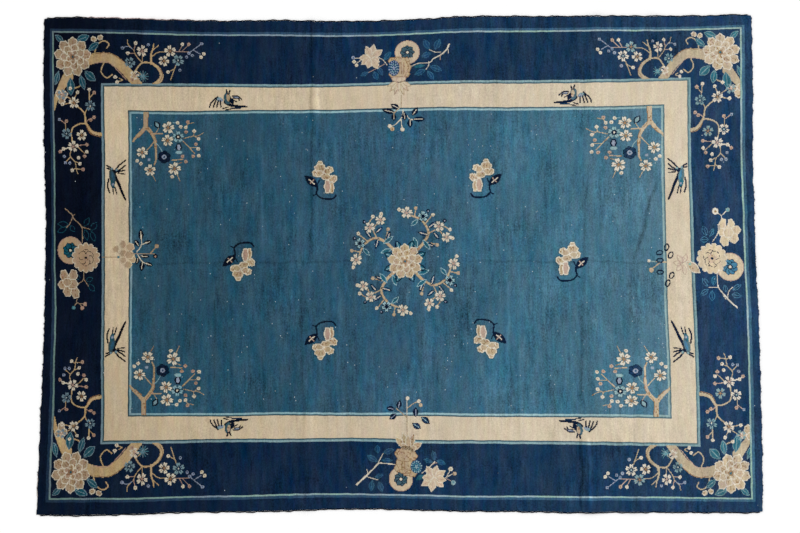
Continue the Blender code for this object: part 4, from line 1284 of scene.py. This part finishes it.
def right_planting(chart):
    """Right border: as the left, turned over."""
    chart.line([(4.3, 20.6), (8.0, 17.2), (10.3, 14.4), (13.2, 10.4), (13.4, 4.0)], "blossom_cream", 0.75,
               0.45)
    chart.lines("blossom_cream", 0.4, [(13.4, 10.8), (17.7, 10.8)], [(8.6, 16.1), (8.2, 13.0), (6.0, 10.6)],
                [(10.9, 14.6), (9.6, 16.6)], [(10.6, -21.4), (10.4, -24.2), (13.0, -26.0)],
                [(10.4, -24.2), (7.8, -26.6)], [(12.2, -20.0), (12.3, -16.0), (15.2, -11.5)])
    chart.leaves("leaf_blue", None, "leaf_blue", ((18, 10.4), (20.9, 6.2), 2.9),
                 ((15.5, 10), (14.9, 4.8), 2.5),
                 ((18, 11.8), (22.1, 14.4), 2.6), ((16.3, 12.2), (16.6, 17.5), 3.0),
                 ((9.4, 13.2), (10.0, 9.5), 2.2),
                 ((6.2, 12.2), (1.5, 9.1), 2.4), ((6.9, 14.3), (1.8, 15.1), 2.8),
                 ((18, -14.4), (19.8, -19.5), 2.9),
                 ((17, -12.8), (21.6, -12.6), 2.9), ((16.6, -14), (14.4, -18.0), 2.3))
    rosette_disc(chart, 6.8, 0.8, 6.9, "leaf_blue", -20)
    scalloped_flower(chart, 15.7, -3.4, 7.4, 15)
    chart.oval(7.1, -15.8, 3.6, 3.8, 0, "pale_tan")
    chart.petals((9.9, -20.1, 1.8, 2.9, -15), (5.6, -20.2, 1.7, 2.5, 15), (3.3, -17.2, 2.4, 2.2, 0),
                 (4.3, -13.2, 2.2, 2.6, -20),
                 (9.1, -12.0, 2.3, 2.7, 10), (10.4, -16.2, 1.7, 2.1, 0), (7.1, -16.0, 2.6, 2.6, 0),
                 fill="pale_tan", rim=0.34)
    chart.lines("rose", 0.36, [(9.6, -20.8), (9.2, -18.6)], [(7.0, -16.8), (7.0, -14.2)],
                [(3.6, -18.0), (4.6, -16.8)], [(4.6, -14.0), (4.4, -12.4)])
    chart.buds("blossom_cream", "brown", (13.4, -26.5), radius=1.6)
    chart.buds("inner_line", "blossom_teal", (7.1, -27.1), radius=1.05)


def left_band_petals(chart):
    """The faint flower on the cream band beside the left planting, with its stem."""
    chart.line([(-1.6, 1.2), (6.2, 1.2)], "tan", 0.45)
    chart.petals((5.5, -2.9, 1.7, 2.0, 0), (8.9, -5.2, 1.7, 2.2, 0), (12.4, -3.8, 2.2, 2.1, 20),
                 (13.4, 2.4, 1.9, 1.8, 0),
                 (11.2, 5.0, 2.1, 2.0, 0), (9.0, -0.6, 2.1, 2.0, 0), (9.0, 2.8, 1.8, 1.7, 0),
                 (12.0, 0.2, 2.4, 2.1, 0),
                 edge="cream", fill="pale_tan", rim=0.36)
    chart.spot(6.6, 1.2, 0.6, "blossom_teal")


def right_band_petals(chart):
    """The right planting's flower, whose lowest petal crosses the stripes."""
    chart.leaf((2.4, -1.4), (-4.4, 4.6), 4.6, "blossom_cream", "tan", 0.45)
    chart.leaves("rose", "cream", None, ((4.6, 0.0), (8.6, -0.8), 2.4), ((4.2, -0.4), (6.6, -4.6), 2.2),
                 ((3.8, -0.4), (2.0, -5.0), 2.2), ((4.4, 0.4), (7.2, 3.6), 2.2),
                 ((3.8, 0.4), (3.0, 5.4), 2.2))
    chart.lines("rose", 0.36, [(4.6, 0.0), (7.2, -0.6)], [(4.0, -0.8), (3.0, -3.4)], [(4.0, 0.6), (3.4, 3.6)])
    chart.spot(0.6, 0.0, 0.7, "guard_green")


def left_field_sprig(chart):
    """A sprig of dark leaves in the field beside the left planting."""
    chart.line([(1.4, 0.0), (13.3, 0.0)], "tan", 0.5)
    chart.leaves("ink", "ink", "blossom_cream", ((6.3, -6.4), (6.2, -12.6), 2.6),
                 ((5.2, -3.6), (3.1, -6.9), 2.4),
                 ((7.6, -5.4), (11.7, -6.2), 2.2), ((5.4, 1.2), (10.4, 1.4), 2.0),
                 ((4.7, 1.8), (4.0, 5.4), 2.2),
                 ((6.9, 3.4), (6.4, 9.0), 2.5), ((8.2, 4.6), (12.1, 6.1), 2.2))
    chart.lines("blossom_cream", 0.5, [(4.0, -0.8), (6.4, -4.4), (6.4, -9.6)], [(6.6, -4.6), (9.4, -5.6)],
                [(4.4, 0.4), (6.8, 4.0), (10.2, 5.4)])
    chart.line([(11.1, -0.4), (13.4, -3.0)], "tan", 0.6)
    chart.buds("tan", "rose", (14.2, -3.8), radius=1.1)
    chart.buds("ink", "rose", (13.4, 1.2), radius=1.2)


def right_field_sprig(chart):
    """The right one: paired leaves in dark rings, some of them lying over the stripes."""
    chart.lines("tan", 0.65, [(0.4, -1.0), (7.4, -1.2)], [(3.2, -1.0), (7.6, 2.4)])
    chart.line([(6.0, -1.2), (8.6, -1.6)], "inner_line", 0.6)
    for a, b, turn in ((0.0, -8.2, 70), (3.6, -5.6, 10), (-1.9, -4.4, 60), (3.4, -1.8, 0), (3.4, 4.0, 0),
                       (-2.2, 5.6, 60), (-0.2, 9.4, 70)):
        chart.oval(a, b, 1.9, 1.30, turn, "ink")
        chart.oval(a, b, 1.3, 0.70, turn, None)
    chart.buds("tan", "rose", (7.9, 2.9), radius=1.2)
    chart.buds("blossom_cream", "tan", (9.0, -1.6), radius=0.8)


def centre_medallion(chart):
    """Middle of the field: one large garden peony with four like blossom branches turned round it."""
    for quarter in range(4):
        chart.line([(4.5, -4.5), (9, -8.6), (12, -14.6), (8.4, -20.6), (1.4, -23.6)], "tan", 1.6, 0.8)
        chart.lines("tan", 0.6, [(11.6, -13.8), (16.4, -15.6), (20.0, -13.0)], [(10.4, -18.6), (13.6, -22.6)],
                    [(15.0, -15.4), (19.6, -17.4), (22.4, -15.8)], [(3.4, -23.0), (-2.2, -25.4)],
                    [(5.0, -22.2), (5.8, -26.0)], [(9.6, -9.8), (14.8, -8.6)], [(18.6, -13.8), (23.0, -11.8)])
        chart.leaves("ink", "dusk", "blossom_cream", ((9.4, -9.2), (15.2, -7.2), 2.2),
                     ((12.2, -13.0), (6.6, -14.6), 2.2),
                     ((11.8, -16.6), (16.4, -19.8), 2.2), ((14.4, -14.6), (17.4, -11.0), 2.0))
        chart.leaves("inner_line", "leaf_teal", None, ((6.4, -6.4), (4.4, -12.2), 2.4),
                     ((9.0, -10.8), (12.8, -5.6), 2.2), ((7.0, -21.0), (3.2, -17.6), 2.1))
        chart.blossoms("blossom_cream", "rose", (1.2, -24.4, 3.0, 8), (17.4, -17.4, 2.7, -10),
                       (21.0, -12.0, 2.6, 20),
                       ground="deep_teal")
        chart.blossoms("inner_line", "ink", (9.4, -22.4, 2.6, 0), ground="ink")
        chart.buds("blossom_cream", "tan", (14.4, -23.2), (-2.6, -26.0), (22.8, -15.8), (24.0, -11.6))
        chart.buds("tan", "rose", (5.8, -26.6), (16.2, -8.2))
        chart.buds("ink", "lavender", (12.0, -25.2), (20.2, -20.2), radius=0.9)
        chart.turn(90)
    for k in range(8):
        way = math.radians(22.5 + 45 * k)
        chart.leaf((5.6 * math.sin(way), -5.6 * math.cos(way)), (11.4 * math.sin(way), -11.4 * math.cos(way)),
                   3.2, "ink", "leaf_teal", 0.5, vein="inner_line")
    chart.peony(0, 0, 8.6)


FIELD_U, FIELD_V = GUARD_U - FIELD_DEPTH, GUARD_V - FIELD_DEPTH
CREAM_U, CREAM_V = GUARD_U - BORDER_WIDTH, GUARD_V - BORDER_WIDTH
BORDER_REACH = BORDER_WIDTH - 0.0145  # border boughs stop at the cream band's outer lines

# The corners are not drawn alike: how many centimetres nearer the corner the upper bough is drawn,
# and the lower bough in a and b, the dyes of two blossoms, and how the field's tree is set and stretched
Corner = namedtuple("Corner", "name flip_a flip_b upper lower_a lower_b outer inner tree_start tree_stretch")
CORNERS = (
    Corner("far_left", 1, 1, 0.0, 0.0, 0.0, "blossom_cream", "outer_line", 0.0, 1.0),
    Corner("near_left", 1, -1, 0.0, 0.0, 2.3, "blossom_cream", "outer_line", 1.5, 1.035),
    Corner("far_right", -1, 1, 4.6, -1.9, -0.8, "outer_line", "blossom_cream", 2.4, 1.104),
    Corner("near_right", -1, -1, 4.6, 0.0, 0.0, "outer_line", "blossom_cream", 2.4, 1.104),
)

# Peony sprigs in the field: the middle of the flower, and which way the chart is mirrored
Sprig = namedtuple("Sprig", "name u v flip_a flip_b")
SPRIGS = (
    Sprig("far_left", -0.362, 0.437, 1, 1),
    Sprig("far_right", 0.428, 0.437, -1, 1),
    Sprig("left", -0.778, -0.012, 1, -1),
    Sprig("right", 0.855, 0.022, -1, 1),
    Sprig("near_left", -0.370, -0.412, 1, -1),
    Sprig("near_right", 0.435, -0.402, -1, -1),
)

# Birds on the cream band: place and mirroring; those on the short sides climb
Bird = namedtuple("Bird", "name draw u v flip_a flip_b")
BIRDS = (
    Bird("far_left", swallow, -0.845, 0.830, 1, 1),
    Bird("far_right", swallow, 0.888, 0.833, -1, 1),
    Bird("near_left", swallow, -0.847, -0.830, 1, -1),
    Bird("near_right", swallow, 0.885, -0.830, -1, -1),
    Bird("left_upper", climbing_swallow, -1.410, 0.420, 1, 1),
    Bird("left_lower", climbing_swallow, -1.410, -0.393, 1, -1),
    Bird("right_upper", climbing_swallow, 1.411, 0.405, -1, 1),
    Bird("right_lower", climbing_swallow, 1.410, -0.393, -1, -1),
)

# The groups at the middles of the four sides, and the one in the middle of the field
Group = namedtuple("Group", "name draw u v box flip_a flip_b")
GROUPS = (
    Group("planting_far", far_planting, 0.013, GUARD_V - 0.006, (-26, 0.5, 28, 27), 1, 1),
    Group("planting_near", near_planting, -0.002, -GUARD_V, (-23, 0.5, 29, 26.4), 1, -1),
    Group("planting_left", left_planting, -GUARD_U, 0.063, (0.5, -24, 26, 31), 1, 1),
    Group("planting_right", right_planting, GUARD_U - 0.008, -0.020, (0.5, -30, 26, 24), -1, 1),
    Group("band_petals_far", far_band_petals, 0.015, CREAM_V, (-8, -1.6, 8, 11.6), 1, 1),
    Group("band_petals_near", near_band_petals, 0.030, -CREAM_V, (-8, -5.4, 10, 11.6), 1, -1),
    Group("band_petals_left", left_band_petals, -CREAM_U, 0.045, (-2, -9, 15.6, 8), 1, 1),
    Group("band_petals_right", right_band_petals, CREAM_U, -0.013, (-5, -7, 11, 7), -1, 1),
    Group("band_sprig_far", far_field_sprig, 0.018, FIELD_V, (-10, -2.2, 13.4, 13), 1, 1),
    Group("band_sprig_near", near_field_sprig, 0.030, -FIELD_V, (-11, -7.6, 13, 11), 1, -1),
    Group("band_sprig_left", left_field_sprig, -FIELD_U, 0.050, (1.2, -14, 16, 11), 1, 1),
    Group("band_sprig_right", right_field_sprig, FIELD_U, -0.013, (-5, -11, 11, 12), -1, 1),
    Group("centre_medallion", centre_medallion, 0.036, 0.002, (-29, -29, 29, 29), 1, 1),
)


def knot_motifs():
    """All the motif groups, each a piece of raised pile."""
    materials = {DYE_NUMBERS[name]: hand_knotted_motif(dye) for name, dye in DYES.items()}
    charts = []
    for corner in CORNERS:
        boughs = Chart(f"corner_boughs_{corner.name}", -corner.flip_a * GUARD_U, corner.flip_b * GUARD_V,
                       (0.5, 0.5, 79, 73), corner.flip_a, corner.flip_b, high=BORDER_REACH)
        plain_paper = boughs.a, boughs.b
        boughs.crowd(corner.upper, 0.0, 12, 45)
        corner_peony(boughs)
        upper_bough(boughs, corner.outer, corner.inner)
        boughs.a, boughs.b = plain_paper
        boughs.crowd(corner.lower_a, corner.lower_b, 26, 46)
        lower_bough(boughs, corner.outer, corner.inner)
        tree = Chart(f"field_tree_{corner.name}", -corner.flip_a * FIELD_U, corner.flip_b * FIELD_V,
                     (0.8, 0.8, 42, 38), corner.flip_a, corner.flip_b, low=FIELD_DEPTH + 0.005)
        tree.a = (tree.a + corner.tree_start) / corner.tree_stretch
        field_tree(tree)
        charts += [boughs, tree]
    for sprig in SPRIGS:
        chart = Chart(f"peony_sprig_{sprig.name}", sprig.u, sprig.v, (-12, -9, 8, 13), sprig.flip_a,
                      sprig.flip_b)
        peony_sprig(chart)
        charts.append(chart)
    for bird in BIRDS:
        chart = Chart(f"swallow_{bird.name}", bird.u, bird.v, (-10, -11, 10.2, 11), bird.flip_a, bird.flip_b,
                      low=BORDER_WIDTH + 0.001, high=FIELD_DEPTH - 0.001)
        bird.draw(chart)
        charts.append(chart)
    for group in GROUPS:
        chart = Chart(group.name, group.u, group.v, group.box, group.flip_a, group.flip_b)
        group.draw(chart)
        charts.append(chart)
    return [chart.knotted(materials) for chart in charts]


# Ragged ends: tufts of worn pile and warp, in clumps with gaps between
Tufts = namedtuple("Tufts", "name side start stop spacing reach clump gaps")
TUFTS = (
    Tufts("worn_tufts_left", -1, -1.222, 1.222, 0.0036, 0.0010, 0.0085, (0.018, 0.080)),
    Tufts("worn_tufts_right", 1, -1.222, 1.222, 0.0036, 0.0014, 0.0060, (0.012, 0.045)),
    Tufts("bare_warps_left", -1, -1.165, -1.045, 0.0030, 0.0040, 0.0040, (0.015, 0.030)),
)
LONGEST_TUFT = 0.0095
CLUMP_WIDTHS = (0.004, 0.012)  # from the middle of a clump to its side
TUFTS_TO_A_ROW = 27  # on the baked map


def end_tufts(row, material, rng):
    """Worn tufts or warp ends along a short end, which give it its ragged line."""
    v = np.arange(row.start, row.stop, row.spacing)
    v += rng.uniform(-0.4, 0.4, len(v)) * row.spacing
    reach = rng.uniform(0.1, 1.0, len(v)) * row.reach
    middle = row.start
    while middle < row.stop:
        middle += rng.uniform(*row.gaps)
        near = np.clip(1.3 - np.abs(v - middle) / rng.uniform(*CLUMP_WIDTHS), 0, 1)
        reach += near * rng.uniform(0.3, 1.0) * rng.uniform(0.6, 1.0, len(v)) * row.clump
    reach = np.minimum(reach, LONGEST_TUFT)
    wide = rng.uniform(0.5, 0.9, len(v)) * row.spacing
    x, y = woven_place(np.full_like(v, row.side * EDGE_U), v)
    base = lift(x, y)
    points, faces, weave, bake = [], [], [], []
    for k in range(len(v)):
        first = len(points)
        for inset, dy, dz in ((-0.003, -1, 0.0004), (-0.003, -0.8, 0.0054), (-0.003, 0.8, 0.0054),
                              (-0.003, 1, 0.0004),
                              (reach[k], -0.25, 0.0012), (reach[k] * 0.8, 0.3, 0.0036)):
            points.append((x[k] + row.side * inset, y[k] + dy * wide[k], base[k] + dz))
        a, b, c, d, e, f = range(first, first + 6)
        tuft = [(a, b, f, e), (b, c, f), (c, d, e, f), (d, a, e), (a, d, c, b)]
        faces += tuft if row.side < 0 else [face[::-1] for face in tuft]
        for corner in range(6):
            weave.append((row.side * EDGE_U, v[k] + (corner % 3 - 1) * 0.001))
            bake.append(((k % TUFTS_TO_A_ROW + 0.2 + 0.1 * corner) / TUFTS_TO_A_ROW,
                         (k // TUFTS_TO_A_ROW + 0.2 + 0.1 * (corner % 3)) / TUFTS_TO_A_ROW))
    return new_piece(row.name, points, faces, [material], weave, bake)


def deselect_all():
    for piece in bpy.context.scene.objects:
        piece.select_set(False)


def make_stage():
    """A pale floor, soft even studio light, and the camera straight above as in the photograph."""
    deselect_all()
    bpy.ops.mesh.primitive_plane_add(size=FLOOR_SIZE, location=(0, 0, -FLOOR_GAP))
    floor = bpy.context.object
    floor.name = "studio_floor"
    material, tree = new_material("matt_white_paper")
    shader = tree.nodes["Principled BSDF"]
    grain = add(tree, "TexNoise", {"Scale": 3.0})
    tone = add(tree, "MapRange", {0: grain, 3: 0.985, 4: 0.995})
    tree.links.new(tone.outputs[0], shader.inputs["Base Color"])
    shader.inputs["Roughness"].default_value = 1.0
    shader.inputs["Specular IOR Level"].default_value = 0.0
    floor.data.materials.append(material)

    world = bpy.data.worlds.new("soft_room")
    world.use_nodes = True
    world.node_tree.nodes["Background"].inputs["Color"].default_value = (1.0, 1.0, 1.0, 1.0)
    world.node_tree.nodes["Background"].inputs["Strength"].default_value = AMBIENT
    bpy.context.scene.world = world
    bpy.ops.object.light_add(type="SUN", location=(3, 2, 4))
    key = bpy.context.object
    key.name = "large_softbox"
    key.data.energy = KEY_STRENGTH
    key.data.angle = math.radians(KEY_SPREAD)
    key.rotation_euler = (0, math.radians(90 - KEY_ELEVATION), math.radians(KEY_AZIMUTH))
    bpy.context.scene.view_settings.view_transform = "Standard"

    bpy.ops.object.camera_add(location=(CAMERA_X, CAMERA_Y, CAMERA_HEIGHT), rotation=(0, 0, 0))
    camera = bpy.context.object
    camera.name = "copy_stand_camera"
    camera.data.sensor_width = SENSOR_WIDTH
    camera.data.lens = CAMERA_LENS
    camera.data.clip_end = 100
    bpy.context.scene.camera = camera


def main():
    make_stage()
    rng = np.random.default_rng(17)
    cloth = make_carpet()
    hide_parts("carpet")
    motifs = knot_motifs()
    far_yarn = overcast_yarn("overcast_navy_wool_far", -1.56, -1.25)
    near_yarn = overcast_yarn("overcast_navy_wool_near", -9.0, -8.9)
    for name, side, yarn in (("far", 1, far_yarn), ("near", -1, near_yarn)):
        cord = make_side_cord("overcast_cord_" + name, side, yarn, rng)
        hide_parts("side_cord_" + name)
    for row in TUFTS:
        # the worn tufts take the near cord's yarn, with its painted shade of the edges
        tuft = end_tufts(row, bare_cotton() if row.name.startswith("bare") else near_yarn, rng)


main()
